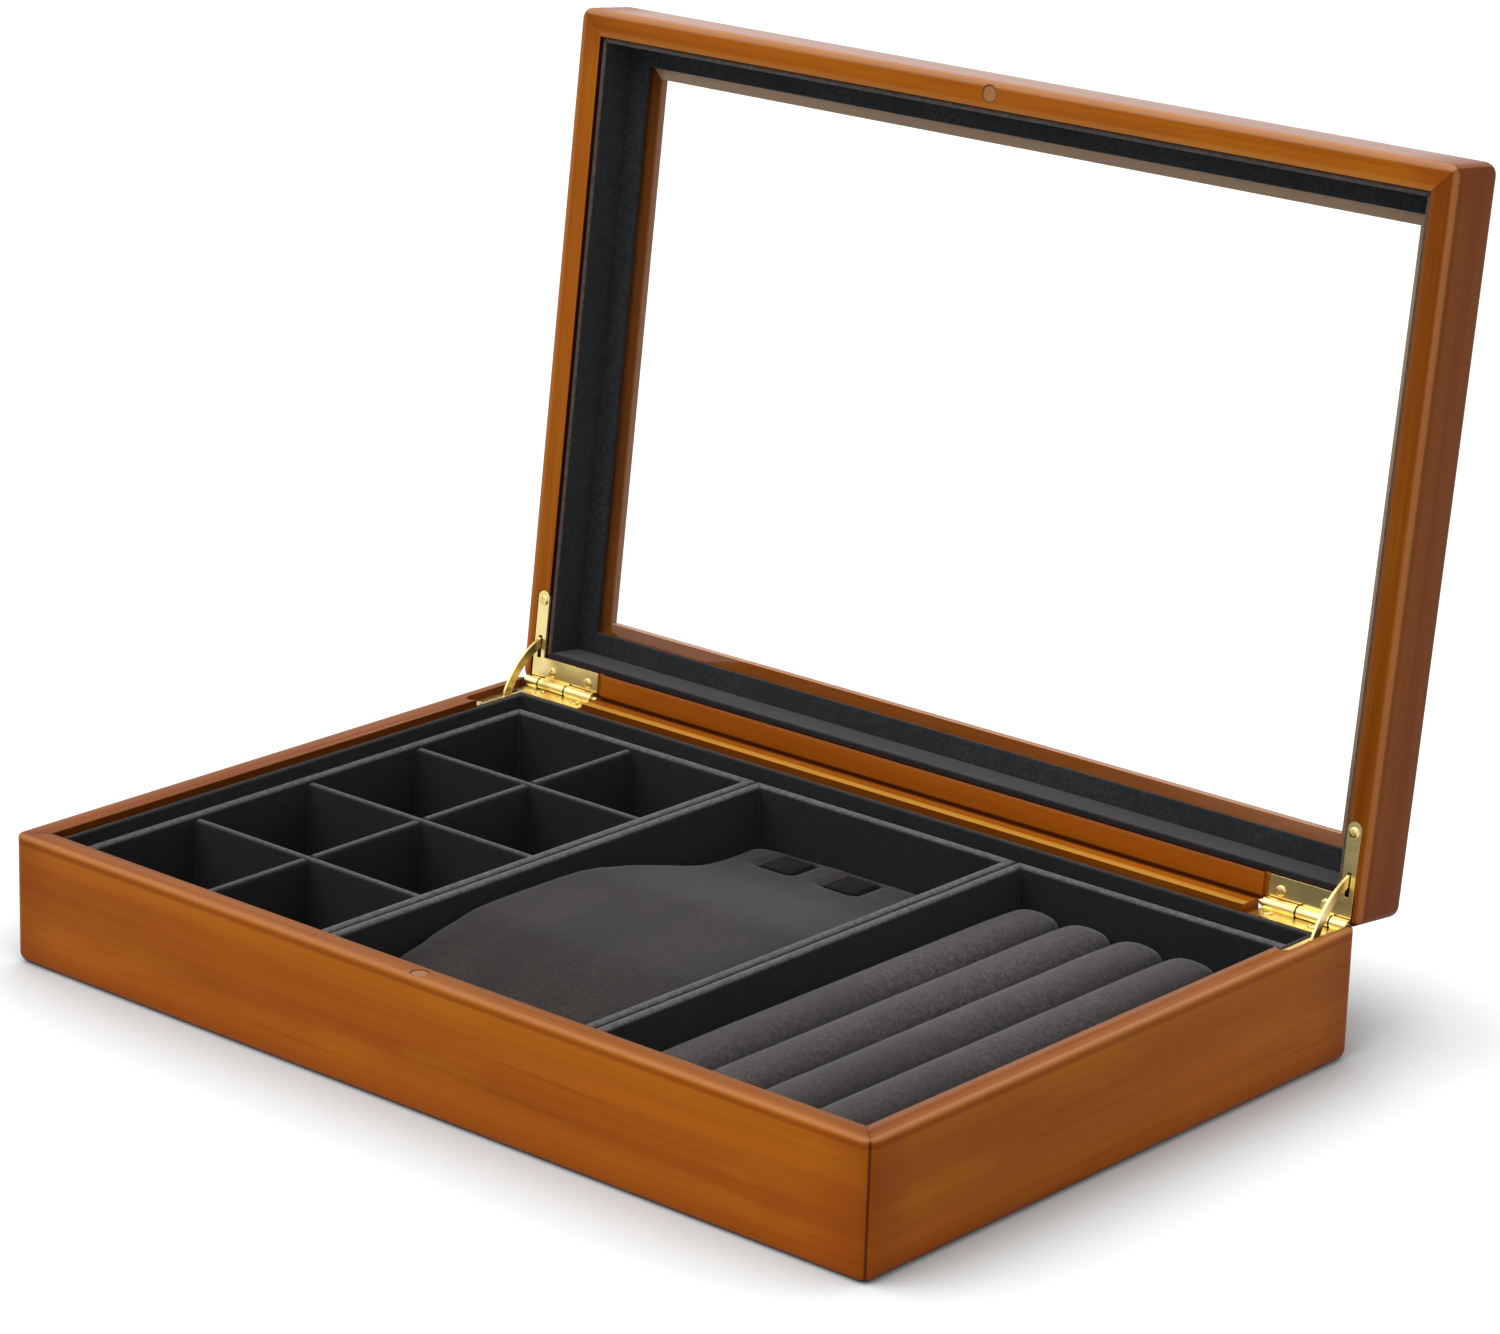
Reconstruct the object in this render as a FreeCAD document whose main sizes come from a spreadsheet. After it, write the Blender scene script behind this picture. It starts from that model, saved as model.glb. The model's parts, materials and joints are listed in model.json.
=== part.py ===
import FreeCAD, Part
import math
import os
import re

# Wooden jewellery box with a glazed lid and three lift-out trays.
#
# The box stands on the ground with its lid open against two stay arms. X runs to the right, Y to the
# back and Z up, and the origin is the middle of the base's underside. Lengths are millimetres and
# angles degrees. Every lid piece is built in its closed place and then swung open about the hinge
# axis, so the same sizes serve both places.

doc = FreeCAD.newDocument("JewelleryBox")

# The driving sizes. Each row is an alias, its value and what it measures.
SIZES = (
    # Case
    ("case_length", 350.0, "case outside, left to right"),
    ("case_depth", 235.0, "case outside, front to back"),
    ("base_height", 43.0, "base, underside to rim"),
    ("lid_height", 23.0, "lid, rim to top"),
    ("rim_gap", 0.1, "between the two rims when the lid is down"),
    ("base_wall", 8.6, "thickness of the base's walls"),
    ("lid_wall", 9.0, "thickness of the lid's rails at the rim"),
    ("corner_round", 4.0, "upright outer corners"),
    ("face_round", 3.5, "outer edges of the top and the underside"),
    ("rim_ease", 1.0, "outer edge of a rim, front and sides"),
    ("back_ease", 0.2, "outer edge of a rim at the back"),
    ("overrun", 5.0, "how far a cutting shape runs past what it cuts"),
    # Bottom of the base
    ("panel_thickness", 6.4, "bottom panel, flush with the underside"),
    ("panel_tongue", 3.0, "how far the bottom panel sits in the walls"),
    ("panel_play", 0.3, "bottom panel's edge to the end of its rebate"),
    ("floor_card", 1.6, "suede-covered card on the bottom panel"),
    # Lining boards
    ("base_board", 2.4, "thickness of the base's lining boards"),
    ("base_board_drop", 2.2, "base rim down to the lining boards"),
    ("lid_board", 2.0, "thickness of the lid's lining boards"),
    ("lid_board_drop", 1.3, "lid rim in to the lining boards"),
    ("board_round", 0.9, "exposed edges of the lining boards"),
    # Window in the lid
    ("lip_width", 13.2, "lip that frames the window, from the rail inwards"),
    ("lip_thickness", 4.0, "lip that frames the window"),
    ("lip_round", 0.8, "window edge of the lip"),
    ("glass_thickness", 2.0, "pane"),
    ("glass_play", 0.6, "edge of the pane to the rails"),
    ("retainer_width", 9.4, "strips that hold the pane, from the rail inwards"),
    ("retainer_thickness", 1.5, "strips that hold the pane"),
    ("retainer_round", 0.6, "window edge of the strips"),
    # Catch magnets
    ("magnet_radius", 3.0, "magnet discs in both front rims"),
    ("magnet_depth", 2.5, "thickness of the magnet discs"),
    ("magnet_recess", 0.2, "magnet face below its rim"),
    ("magnet_inset", 4.3, "front face to the magnets' centre"),
    # Hinges
    ("open_angle", 96.0, "lid angle at the stays' stop"),
    ("hinge_setback", 0.1, "hinge axis behind the case's back face"),
    ("hinge_drop", 1.0, "hinge axis below the base's rim"),
    ("barrel_radius", 2.2, "knuckles"),
    ("pin_radius", 0.9, "hinge pin"),
    ("pin_play", 0.05, "hinge pin in the lid's knuckle, on the radius"),
    ("ball_radius", 1.1, "head of the hinge pin"),
    ("ball_bevel", 0.6, "outer end of the hinge pin's head"),
    ("leaf_thickness", 1.0, "hinge leaves"),
    ("hinge_inset", 3.5, "side face of the case to the last knuckle"),
    ("leaf_inset", 4.0, "side face of the case to the leaves"),
    ("knuckle_side", 6.1, "base knuckle near the side"),
    ("knuckle_lid", 12.1, "lid knuckle"),
    ("knuckle_inner", 12.2, "base knuckle away from the side"),
    ("knuckle_gap", 0.2, "between two knuckles"),
    ("leaf_reach", 34.5, "side face of the case to the inner end of a leaf"),
    ("leaf_run", 32.5, "back face of the case to the front end of a leaf"),
    ("mortise_play", 0.2, "around a leaf in its mortise and round the barrel"),
    # Hinge screws
    ("screw_head", 1.85, "radius of a screw head"),
    ("screw_rise", 0.7, "height of a screw head on its leaf"),
    ("screw_shank", 0.85, "radius of a screw's shank"),
    ("screw_length", 7.5, "screw, under its head"),
    ("screw_back", 4.5, "back face to the screws of the back arm"),
    ("screw_side", 6.6, "side face to the screw of the side arm"),
    ("screw_outer", 13.3, "side face to the outer screw of the back arm"),
    ("screw_inner", 4.5, "inner end of a leaf to its inner screw"),
    ("screw_front", 3.5, "front end of a leaf to its front screw"),
    # Stay arms
    ("stay_plane", 6.5, "side face of the case to the middle of a stay arm"),
    ("stay_thickness", 1.0, "stay arm"),
    ("stay_width", 3.5, "stay arm, across its curve"),
    ("stay_bend", 28.0, "radius of the stay arm's middle line"),
    ("stay_offset", 10.75, "hinge axis to the middle of the stay arm"),
    ("stay_reach", 13.15, "middle of the stay arm to its stop pins, square to the offset"),
    ("stop_radius", 0.75, "stop pin of a stay arm"),
    ("stop_length", 2.6, "stop pin of a stay arm, end to end"),
    ("stay_play", 0.3, "stay arm in the slots of the leaves"),
    ("stay_pocket", 3.0, "width of the mortise that a stay arm drops into"),
    # Trays
    ("tray_gap", 0.3, "between trays, and from a tray to the side linings"),
    ("tray_end_gap", 1.8, "tray to the front and back linings"),
    ("tray_height", 28.8, "tray"),
    ("tray_wall", 3.9, "tray walls with their suede"),
    ("tray_floor", 2.0, "tray floor"),
    ("tray_round", 1.8, "edges of a tray's rim"),
    ("divider", 3.8, "thickness of the dividers"),
    ("divider_drop", 1.5, "tray rim down to the dividers"),
    ("divider_round", 1.75, "top edges of the dividers"),
    ("lap_play", 0.1, "in the halving joints of the dividers"),
    ("row_count", 4, "compartments from front to back"),
    # Bracelet pad
    ("soft_gap", 0.3, "around the pad and the ring rolls"),
    ("pad_crest", 21.6, "pad at the crest of its arch"),
    ("pad_shelf", 8.0, "pad where it is level, at its front and back ends"),
    ("pad_round", 202.0, "radius of the pad's arch"),
    ("pad_middle", 85.5, "front end of the pad to the crest of its arch"),
    ("pad_draw", 1.6, "how far the edges of the pad draw in"),
    ("strap_inset", 14.2, "back end of the pad to the middle of the straps"),
    ("strap_width", 13.6, "strap, front to back"),
    ("strap_span", 11.0, "strap between its two slots"),
    ("strap_thickness", 0.8, "strap"),
    ("strap_lift", 0.3, "strap above the pad"),
    ("strap_left", 25.5, "middle of the tray to the left strap"),
    ("strap_right", 1.5, "middle of the tray to the right strap"),
    ("slot_width", 1.8, "slots of the pad, side to side"),
    ("slot_play", 0.6, "slots of the pad past the strap, front and back"),
    ("slot_floor", 3.0, "tray floor up to the slots' ends"),
    # Ring rolls
    ("roll_count", 5, "ring rolls side by side"),
    ("roll_gap", 0.2, "between two rolls"),
    ("roll_height", 17.0, "ring roll at its crown"),
    ("roll_crown", 21.0, "radius of a ring roll's crown"),
    ("roll_draw", 1.6, "how far the edges of a ring roll draw in"),
)

sheet = doc.addObject("Spreadsheet::Sheet", "Sizes")
for row, (alias, number, note) in enumerate(SIZES, start=1):
    sheet.set(f"A{row}", alias)
    sheet.set(f"B{row}", str(number))
    sheet.set(f"C{row}", note)
    sheet.setAlias(f"B{row}", alias)
doc.recompute()

ALIASES = re.compile(r"\b(" + "|".join(alias for alias, _, _ in SIZES) + r")\b")

# Places and lengths that follow from the sheet, each a formula in its aliases.
HALF_X = "(case_length / 2)"
HALF_Y = "(case_depth / 2)"
BASE_X = f"({HALF_X} - base_wall)"
BASE_Y = f"({HALF_Y} - base_wall)"
LINED_X = f"({BASE_X} - base_board)"
LINED_Y = f"({BASE_Y} - base_board)"
LID_X = f"({HALF_X} - lid_wall)"
LID_Y = f"({HALF_Y} - lid_wall)"
LID_Z = "(base_height + rim_gap)"
LID_TOP = f"({LID_Z} + lid_height)"
LIP_Z = f"({LID_TOP} - lip_thickness)"
GLASS_Z = f"({LIP_Z} - glass_thickness)"
RETAINER_Z = f"({GLASS_Z} - retainer_thickness)"
FLOOR_Z = "(panel_thickness + floor_card)"
AXIS_Y = f"({HALF_Y} + hinge_setback)"
AXIS_Z = "(base_height - hinge_drop)"
TRAY_WIDTH = f"((2 * {LINED_X} - 4 * tray_gap) / 3)"
TRAY_STEP = f"({TRAY_WIDTH} + tray_gap)"
TRAY_Y = f"({LINED_Y} - tray_end_gap)"
TRAY_IN_X = f"({TRAY_WIDTH} / 2 - tray_wall)"
TRAY_IN_Y = f"({TRAY_Y} - tray_wall)"
BED_Z = f"({FLOOR_Z} + tray_floor)"
TRAY_TOP = f"({FLOOR_Z} + tray_height)"

SIDES = ("front", "right", "back", "left")
TOWARDS = {"x": FreeCAD.Vector(1, 0, 0), "y": FreeCAD.Vector(0, 1, 0), "z": FreeCAD.Vector(0, 0, 1)}
NEAR = 1e-6

parts = []


def size(alias):
    """Give one value of the sheet."""
    return float(sheet.get(alias))


def bind(item, prop, formula):
    """Tie one property to a formula in the sheet's aliases."""
    item.setExpression(prop, ALIASES.sub(r"Sizes.\1", formula))


def block(name, x, y, z):
    """Make a box between two formulas on each axis."""
    item = doc.addObject("Part::Box", name)
    for (low, high), side, axis in zip((x, y, z), ("Length", "Width", "Height"), "xyz"):
        bind(item, side, f"({high}) - ({low})")
        bind(item, "Placement.Base." + axis, low)
    return item


def rod(name, towards, radius, place, length):
    """Make a cylinder that starts at a place and runs along one axis."""
    item = doc.addObject("Part::Cylinder", name)
    item.Placement = FreeCAD.Placement(FreeCAD.Vector(), FreeCAD.Rotation(TOWARDS["z"], TOWARDS[towards]))
    bind(item, "Radius", radius)
    bind(item, "Height", length)
    for formula, axis in zip(place, "xyz"):
        bind(item, "Placement.Base." + axis, formula)
    return item


def fuse(name, *items):
    """Join solids into one."""
    item = doc.addObject("Part::MultiFuse", name)
    item.Shapes = list(items)
    item.Refine = True
    return item


def group(name, *items):
    """Hold finished solids in one shape, each as it is."""
    item = doc.addObject("Part::Compound", name)
    item.Links = list(items)
    return item


def cut(name, base, *tools):
    """Take the tools away from a base."""
    item = doc.addObject("Part::Cut", name)
    item.Base = base
    item.Tool = tools[0] if len(tools) == 1 else fuse(name + "_tools", *tools)
    item.Refine = True
    return item


def common(name, base, tool):
    """Keep what two solids share."""
    item = doc.addObject("Part::Common", name)
    item.Base = base
    item.Tool = tool
    return item


def mirrored(name, source):
    """Copy a solid to the other side of the box's middle plane."""
    item = doc.addObject("Part::Mirroring", name)
    item.Source = source
    item.Normal = TOWARDS["x"]
    return item


def rounded(name, base, radius_of, kind="Part::Fillet"):
    """Round, or with Part::Chamfer bevel, the edges of a solid for which radius_of gives a size."""
    doc.recompute()
    item = doc.addObject(kind, name)
    item.Base = base
    box = base.Shape.BoundBox
    chosen = []
    for number, edge in enumerate(base.Shape.Edges, start=1):
        radius = radius_of(edge, box)
        if radius:
            chosen.append((number, radius, radius))
    item.Edges = chosen
    return item


def all_at(edge, axis, place):
    """Tell whether both ends of an edge have the same place on one axis."""
    return all(abs(getattr(vertex, axis) - place) < NEAR for vertex in edge.Vertexes)


def keep(name, item):
    """Name a finished piece and put it on the list to write."""
    item.Label = name
    if item.Label != name:
        raise ValueError(f"the name {name} is taken")
    parts.append(item)
    return item


def swing(item, angle):
    """Turn a piece about the hinge axis by a formula, from its closed place."""
    item.Placement = FreeCAD.Placement(FreeCAD.Vector(), FreeCAD.Rotation(TOWARDS["x"], -size("open_angle")))
    bind(item, "Placement.Rotation.Angle", f"({angle}) * 1 deg")
    turn = f"(({angle}) * 1 deg)"
    bind(item, "Placement.Base.y", f"{AXIS_Y} - {AXIS_Y} * cos({turn}) + {AXIS_Z} * sin({turn})")
    bind(item, "Placement.Base.z", f"{AXIS_Z} - {AXIS_Y} * sin({turn}) - {AXIS_Z} * cos({turn})")
    return item


def mitred(names, ring, half_x, half_y, centre_x, width, z):
    """Split a rectangular ring at its corners into four mitred pieces.

    The ring's outer half sizes, the place of its centre along X, the width of its widest section and
    its two heights are formulas. The pieces come back by side.
    """
    pieces = {}
    for quarter, side in enumerate(SIDES):
        out, along = (half_y, half_x) if side in ("front", "back") else (half_x, half_y)
        wedge = doc.addObject("Part::Wedge", f"{ring.Name}_{side}_mitre")
        depth = f"({width} + overrun)"
        for prop, formula in (
            ("Xmin", f"-({along} + overrun)"),
            ("Xmax", f"{along} + overrun"),
            ("X2min", f"-({along} - {depth})"),
            ("X2max", f"{along} - {depth}"),
            ("Ymin", f"-({out} + overrun)"),
            ("Ymax", f"-({out} - {depth})"),
            ("Zmin", f"{z[0]} - overrun"),
            ("Z2min", f"{z[0]} - overrun"),
            ("Zmax", f"{z[1]} + overrun"),
            ("Z2max", f"{z[1]} + overrun"),
        ):
            bind(wedge, prop, formula)
        turn = FreeCAD.Rotation(TOWARDS["z"], math.degrees(quarter * math.tau / len(SIDES)))
        wedge.Placement = FreeCAD.Placement(FreeCAD.Vector(), turn)
        bind(wedge, "Placement.Base.x", centre_x)
        pieces[side] = keep(names.format(side), common(f"{ring.Name}_{side}", ring, wedge))
    return pieces


# Hinges: the right pair is built first, and the left pair mirrors it.
KNUCKLE_END = f"({HALF_X} - hinge_inset)"
SIDE_KNUCKLE = f"({KNUCKLE_END} - knuckle_side)"
LID_KNUCKLE_END = f"({SIDE_KNUCKLE} - knuckle_gap)"
LID_KNUCKLE = f"({LID_KNUCKLE_END} - knuckle_lid)"
INNER_KNUCKLE_END = f"({LID_KNUCKLE} - knuckle_gap)"
INNER_KNUCKLE = f"({INNER_KNUCKLE_END} - knuckle_inner)"
LEAF_X = f"({HALF_X} - leaf_inset)"
LEAF_END = f"({HALF_X} - leaf_reach)"
LEAF_FRONT = f"({HALF_Y} - leaf_run)"
LEAF_BACK = f"({AXIS_Y} - barrel_radius)"
BASE_LEAF_Z = f"({AXIS_Z} - barrel_radius)"
BASE_LEAF_TOP = f"({BASE_LEAF_Z} + leaf_thickness)"
LID_LEAF_TOP = f"({AXIS_Z} + barrel_radius)"
LID_LEAF_Z = f"({LID_LEAF_TOP} - leaf_thickness)"
BALL_X = f"({INNER_KNUCKLE} - ball_radius)"
STAY_X = f"({HALF_X} - stay_plane)"


def knuckle(name, start, end):
    """Make one knuckle on the hinge axis."""
    return rod(name, "x", "barrel_radius", (start, AXIS_Y, AXIS_Z), f"{end} - {start}")


def web(name, start, end, z):
    """Join a knuckle to the plate of its leaf."""
    return block(name, (start, end), (f"{LEAF_BACK} - leaf_thickness", AXIS_Y), z)


def plate(name, wall_x, wall_y, z, play="0"):
    """Make the L-shaped plate of a leaf, or its mortise where play is more than nothing.

    One arm lies along the back and one along the side. Both start at the wall's inner face, and the
    side arm has a round front end.
    """
    arm = f"(({LEAF_X} - {wall_x}) / 2)"
    nose = f"({LEAF_FRONT} + {arm})"
    back = block(f"{name}_back", (f"{LEAF_END} - {play}", LEAF_X), (wall_y, LEAF_BACK), z)
    side = block(f"{name}_side", (wall_x, f"{LEAF_X} + {play}"), (nose, LEAF_BACK), z)
    middle = (f"{LEAF_X} - {arm}", nose, z[0])
    end = rod(f"{name}_nose", "z", f"{arm} + {play}", middle, f"{z[1]} - ({z[0]})")
    return back, side, end


def stay_slot(name, z):
    """Make the slot that lets the stay arm through a leaf."""
    half = "(stay_thickness / 2 + stay_play)"
    far = f"({AXIS_Y} - stay_offset - 1.5 * stay_width - 2 * stay_play)"
    near = f"({AXIS_Y} - stay_offset + stay_width / 2 + stay_play)"
    return block(name, (f"{STAY_X} - {half}", f"{STAY_X} + {half}"), (far, near), z)


def screws(name, face, into):
    """Make the three round-head screws of one leaf, driven up (1) or down (-1) through its face."""
    places = (
        (f"{LEAF_END} + screw_inner", f"{HALF_Y} - screw_back"),
        (f"{HALF_X} - screw_outer", f"{HALF_Y} - screw_back"),
        (f"{HALF_X} - screw_side", f"{LEAF_FRONT} + screw_front"),
    )
    under, start = (face, f"{face} - screw_length") if into < 0 else (f"{face} - screw_rise", face)
    solids = []
    for number, (x, y) in enumerate(places, start=1):
        head = rod(f"{name}_head_{number}", "z", "screw_head", (x, y, under), "screw_rise")
        shank = rod(f"{name}_shank_{number}", "z", "screw_shank", (x, y, start), "screw_length")
        solids.append(fuse(f"{name}_{number}", head, shank))
    return group(name, *solids)


def hinge_pin():
    """Make the pin, whose bevelled head shows at the inner end of the barrel."""
    shank = rod("pin_shank", "x", "pin_radius", (BALL_X, AXIS_Y, AXIS_Z), f"{KNUCKLE_END} - {BALL_X}")
    start = (f"{BALL_X} - ball_radius", AXIS_Y, AXIS_Z)
    head = rounded(
        "pin_head",
        rod("pin_button", "x", "ball_radius", start, "2 * ball_radius"),
        lambda edge, box: size("ball_bevel") if all_at(edge, "X", box.XMin) else None,
        "Part::Chamfer",
    )
    return fuse("pin_right", shank, head)


def base_leaf(pin, fixings):
    """Make the base's leaf with its two knuckles."""
    z = (BASE_LEAF_Z, BASE_LEAF_TOP)
    pieces = (
        *plate("base_plate", BASE_X, BASE_Y, z),
        knuckle("base_knuckle_side", SIDE_KNUCKLE, KNUCKLE_END),
        knuckle("base_knuckle_inner", INNER_KNUCKLE, INNER_KNUCKLE_END),
        web("base_web_side", SIDE_KNUCKLE, LEAF_X, z),
        web("base_web_inner", INNER_KNUCKLE, INNER_KNUCKLE_END, z),
    )
    solid = fuse("base_leaf_solid", *pieces)
    slot = stay_slot("base_stay_slot", (f"{BASE_LEAF_Z} - overrun", AXIS_Z))
    return cut("base_leaf_right", solid, slot, pin, fixings)


def lid_leaf(fixings):
    """Make the lid's leaf with its one knuckle, in its closed place."""
    z = (LID_LEAF_Z, LID_LEAF_TOP)
    pieces = (
        *plate("lid_plate", LID_X, LID_Y, z),
        knuckle("lid_knuckle", LID_KNUCKLE, LID_KNUCKLE_END),
        web("lid_web", LID_KNUCKLE, LID_KNUCKLE_END, z),
    )
    solid = fuse("lid_leaf_solid", *pieces)
    slot = stay_slot("lid_stay_slot", (AXIS_Z, f"{LID_LEAF_TOP} + overrun"))
    start = (f"{LID_KNUCKLE} - overrun", AXIS_Y, AXIS_Z)
    bore = rod("lid_knuckle_bore", "x", "pin_radius + pin_play", start, "knuckle_lid + 2 * overrun")
    return cut("lid_leaf_right", solid, slot, bore, fixings)


def hinge_mortise(name, wall_x, wall_y, z, inside):
    """Make what the right hinge takes out of a wall.

    It is the leaf's mortise, the hollow round the barrel and the deep pocket for the stay arm, which
    reaches up to the height of inside.
    """
    x = (f"{BALL_X} - ball_radius - mortise_play", f"{KNUCKLE_END} + mortise_play")
    low, high = z
    shapes = list(plate(f"{name}_plate", wall_x, wall_y, z, "mortise_play"))
    shapes.append(block(f"{name}_trough", x, (wall_y, f"{HALF_Y} + overrun"), (low, high)))
    shapes.append(
        rod(
            f"{name}_hollow",
            "x",
            "barrel_radius + mortise_play",
            (x[0], AXIS_Y, AXIS_Z),
            f"{x[1]} - ({x[0]})",
        )
    )
    pocket_x = (f"{STAY_X} - stay_pocket / 2", f"{STAY_X} + stay_pocket / 2")
    pocket_y = (
        f"{AXIS_Y} - stay_offset - 1.5 * stay_width - 4 * stay_play",
        f"{AXIS_Y} - stay_offset + 1.5 * stay_width + stay_play",
    )
    shapes.append(block(f"{name}_pocket", pocket_x, pocket_y, inside))
    return fuse(name, *shapes)


def stay_arm(name, side):
    """Make the right (1) or the left (-1) stay arm in its closed place.

    It is a curved strip whose ends carry the stop pins. The strip's ends and its middle line are arcs
    in an upright plane that runs from front to back.
    """
    bend, half = size("stay_bend"), size("stay_width") / 2
    axis_y = size("case_depth") / 2 + size("hinge_setback")
    axis_z = size("base_height") - size("hinge_drop")
    middle = side * (size("case_length") / 2 - size("stay_plane"))
    start = middle - size("stay_thickness") / 2
    centre = FreeCAD.Vector(start, axis_y - size("stay_offset") + bend, axis_z)
    reach = math.asin(size("stay_reach") / bend)

    def point(radius, angle, beyond=0.0):
        """Give a point of the strip by its radius, its angle and its distance past that angle."""
        outwards = FreeCAD.Vector(0, -math.cos(angle), math.sin(angle))
        onwards = FreeCAD.Vector(0, math.sin(angle), math.cos(angle))
        return centre + outwards * radius + onwards * math.copysign(beyond, angle)

    outer, inner = bend + half, bend - half
    edges = (
        Part.Arc(point(outer, -reach), point(outer, 0.0), point(outer, reach)),
        Part.Arc(point(outer, reach), point(bend, reach, half), point(inner, reach)),
        Part.Arc(point(inner, reach), point(inner, 0.0), point(inner, -reach)),
        Part.Arc(point(inner, -reach), point(bend, -reach, half), point(outer, -reach)),
    )
    strip = Part.Face(Part.Wire([edge.toShape() for edge in edges]))
    solid = strip.extrude(TOWARDS["x"] * size("stay_thickness"))
    spare = (size("stop_length") - size("stay_thickness")) / 2
    for angle in (-reach, reach):
        foot = point(bend, angle) - TOWARDS["x"] * spare
        solid = solid.fuse(Part.makeCylinder(size("stop_radius"), size("stop_length"), foot, TOWARDS["x"]))
    item = doc.addObject("Part::Feature", name)
    item.Shape = solid.removeSplitter()
    return item


# Base: a mitred frame with a bottom panel let into a rebate in its underside.
def base_radius(edge, box):
    """Give the rounding of an edge of the base's blank."""
    if all_at(edge, "Z", box.ZMin):
        return size("face_round")
    if all_at(edge, "Z", box.ZMax):
        return size("back_ease") if all_at(edge, "Y", box.YMax) else size("rim_ease")
    return size("corner_round")


def lid_radius(edge, box):
    """Give the rounding of an edge of the lid's blank."""
    if all_at(edge, "Z", box.ZMax):
        return size("face_round")
    if all_at(edge, "Z", box.ZMin):
        return size("back_ease") if all_at(edge, "Y", box.YMax) else size("rim_ease")
    return size("corner_round")


def centred(half):
    """Give the two places at the same distance each side of the middle."""
    return f"-{half}", half


def magnet(name, low, high):
    """Make a magnet disc, or its bore, between two heights."""
    place = ("0", f"-({HALF_Y} - magnet_inset)", low)
    return rod(name, "z", "magnet_radius", place, f"{high} - ({low})")


blank_x, blank_y = centred(HALF_X), centred(HALF_Y)

pin_right = hinge_pin()
base_screws_right = screws("base_screws_right", BASE_LEAF_TOP, -1)
lid_screws_right = screws("lid_screws_right", LID_LEAF_Z, 1)
base_leaf_right = base_leaf(pin_right, base_screws_right)
lid_leaf_right = lid_leaf(lid_screws_right)
pin_left = mirrored("pin_left", pin_right)
base_screws_left = mirrored("base_screws_left", base_screws_right)
lid_screws_left = mirrored("lid_screws_left", lid_screws_right)
stay_depth = "(stay_reach + stay_width / 2 + 2 * stay_play)"

base_mortise = hinge_mortise(
    "base_mortise",
    BASE_X,
    BASE_Y,
    (BASE_LEAF_Z, "base_height + overrun"),
    (f"{AXIS_Z} - {stay_depth}", "base_height + overrun"),
)
lid_mortise = hinge_mortise(
    "lid_mortise",
    LID_X,
    LID_Y,
    (f"{LID_Z} - overrun", LID_LEAF_TOP),
    (f"{LID_Z} - overrun", f"{AXIS_Z} + {stay_depth}"),
)

base_blank = rounded("base_blank", block("base_box", blank_x, blank_y, ("0", "base_height")), base_radius)
base_disc = magnet(
    "base_disc",
    "base_height - magnet_recess - magnet_depth",
    "base_height - magnet_recess",
)
base_frame = cut(
    "base_frame",
    base_blank,
    block("base_well", centred(BASE_X), centred(BASE_Y), ("-overrun", "base_height + overrun")),
    block(
        "base_rebate",
        centred(f"({BASE_X} + panel_tongue + panel_play)"),
        centred(f"({BASE_Y} + panel_tongue + panel_play)"),
        ("-overrun", "panel_thickness"),
    ),
    magnet("base_magnet_bore", "base_height - magnet_recess - magnet_depth", "base_height + overrun"),
    base_mortise,
    mirrored("base_mortise_left", base_mortise),
    base_screws_right,
    base_screws_left,
)
mitred("base_{}_wall", base_frame, HALF_X, HALF_Y, "0", "base_wall", ("0", "base_height"))
keep(
    "base_bottom_panel",
    block(
        "bottom_panel",
        centred(f"({BASE_X} + panel_tongue)"),
        centred(f"({BASE_Y} + panel_tongue)"),
        ("0", "panel_thickness"),
    ),
)
keep(
    "floor_lining",
    block("floor_card_sheet", centred(BASE_X), centred(BASE_Y), ("panel_thickness", FLOOR_Z)),
)
keep("base_magnet", base_disc)


# Lining boards: a mitred ring of suede-covered board inside each frame.
def top_edges(edge, box):
    """Round a ring's upper edges as a lining board."""
    return size("board_round") if all_at(edge, "Z", box.ZMax) else None


def bottom_edges(edge, box):
    """Round a ring's lower edges as a lining board."""
    return size("board_round") if all_at(edge, "Z", box.ZMin) else None


BASE_BOARD_TOP = "(base_height - base_board_drop)"
LID_BOARD_Z = f"({LID_Z} + lid_board_drop)"

base_board_ring = rounded(
    "base_board_ring",
    cut(
        "base_board_blank",
        block("base_board_box", centred(BASE_X), centred(BASE_Y), (FLOOR_Z, BASE_BOARD_TOP)),
        block("base_board_well", centred(LINED_X), centred(LINED_Y), ("0", "base_height")),
    ),
    top_edges,
)
mitred("base_lining_{}", base_board_ring, BASE_X, BASE_Y, "0", "base_board", (FLOOR_Z, BASE_BOARD_TOP))

keep("base_hinge_leaf_right", base_leaf_right)
keep("base_hinge_leaf_left", mirrored("base_leaf_left", base_leaf_right))
keep("hinge_pins", group("pin_pair", pin_right, pin_left))
keep("base_hinge_screws", group("base_screw_set", base_screws_right, base_screws_left))

# Lid: a mitred frame with a lip, and a pane held against the lip by four strips.
lid_blank = rounded("lid_blank", block("lid_box", blank_x, blank_y, (LID_Z, LID_TOP)), lid_radius)
WINDOW_X = f"({LID_X} - lip_width)"
WINDOW_Y = f"({LID_Y} - lip_width)"


def window_edges(edge, box):
    """Round the window edge of the lip, which is the inner loop of the top face."""
    inside = edge.BoundBox
    clear = size("lip_width") + size("lid_wall") - NEAR
    at_top = all_at(edge, "Z", box.ZMax)
    held = inside.XMin > box.XMin + clear - NEAR and inside.XMax < box.XMax - clear + NEAR
    return size("lip_round") if at_top and held else None


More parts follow.
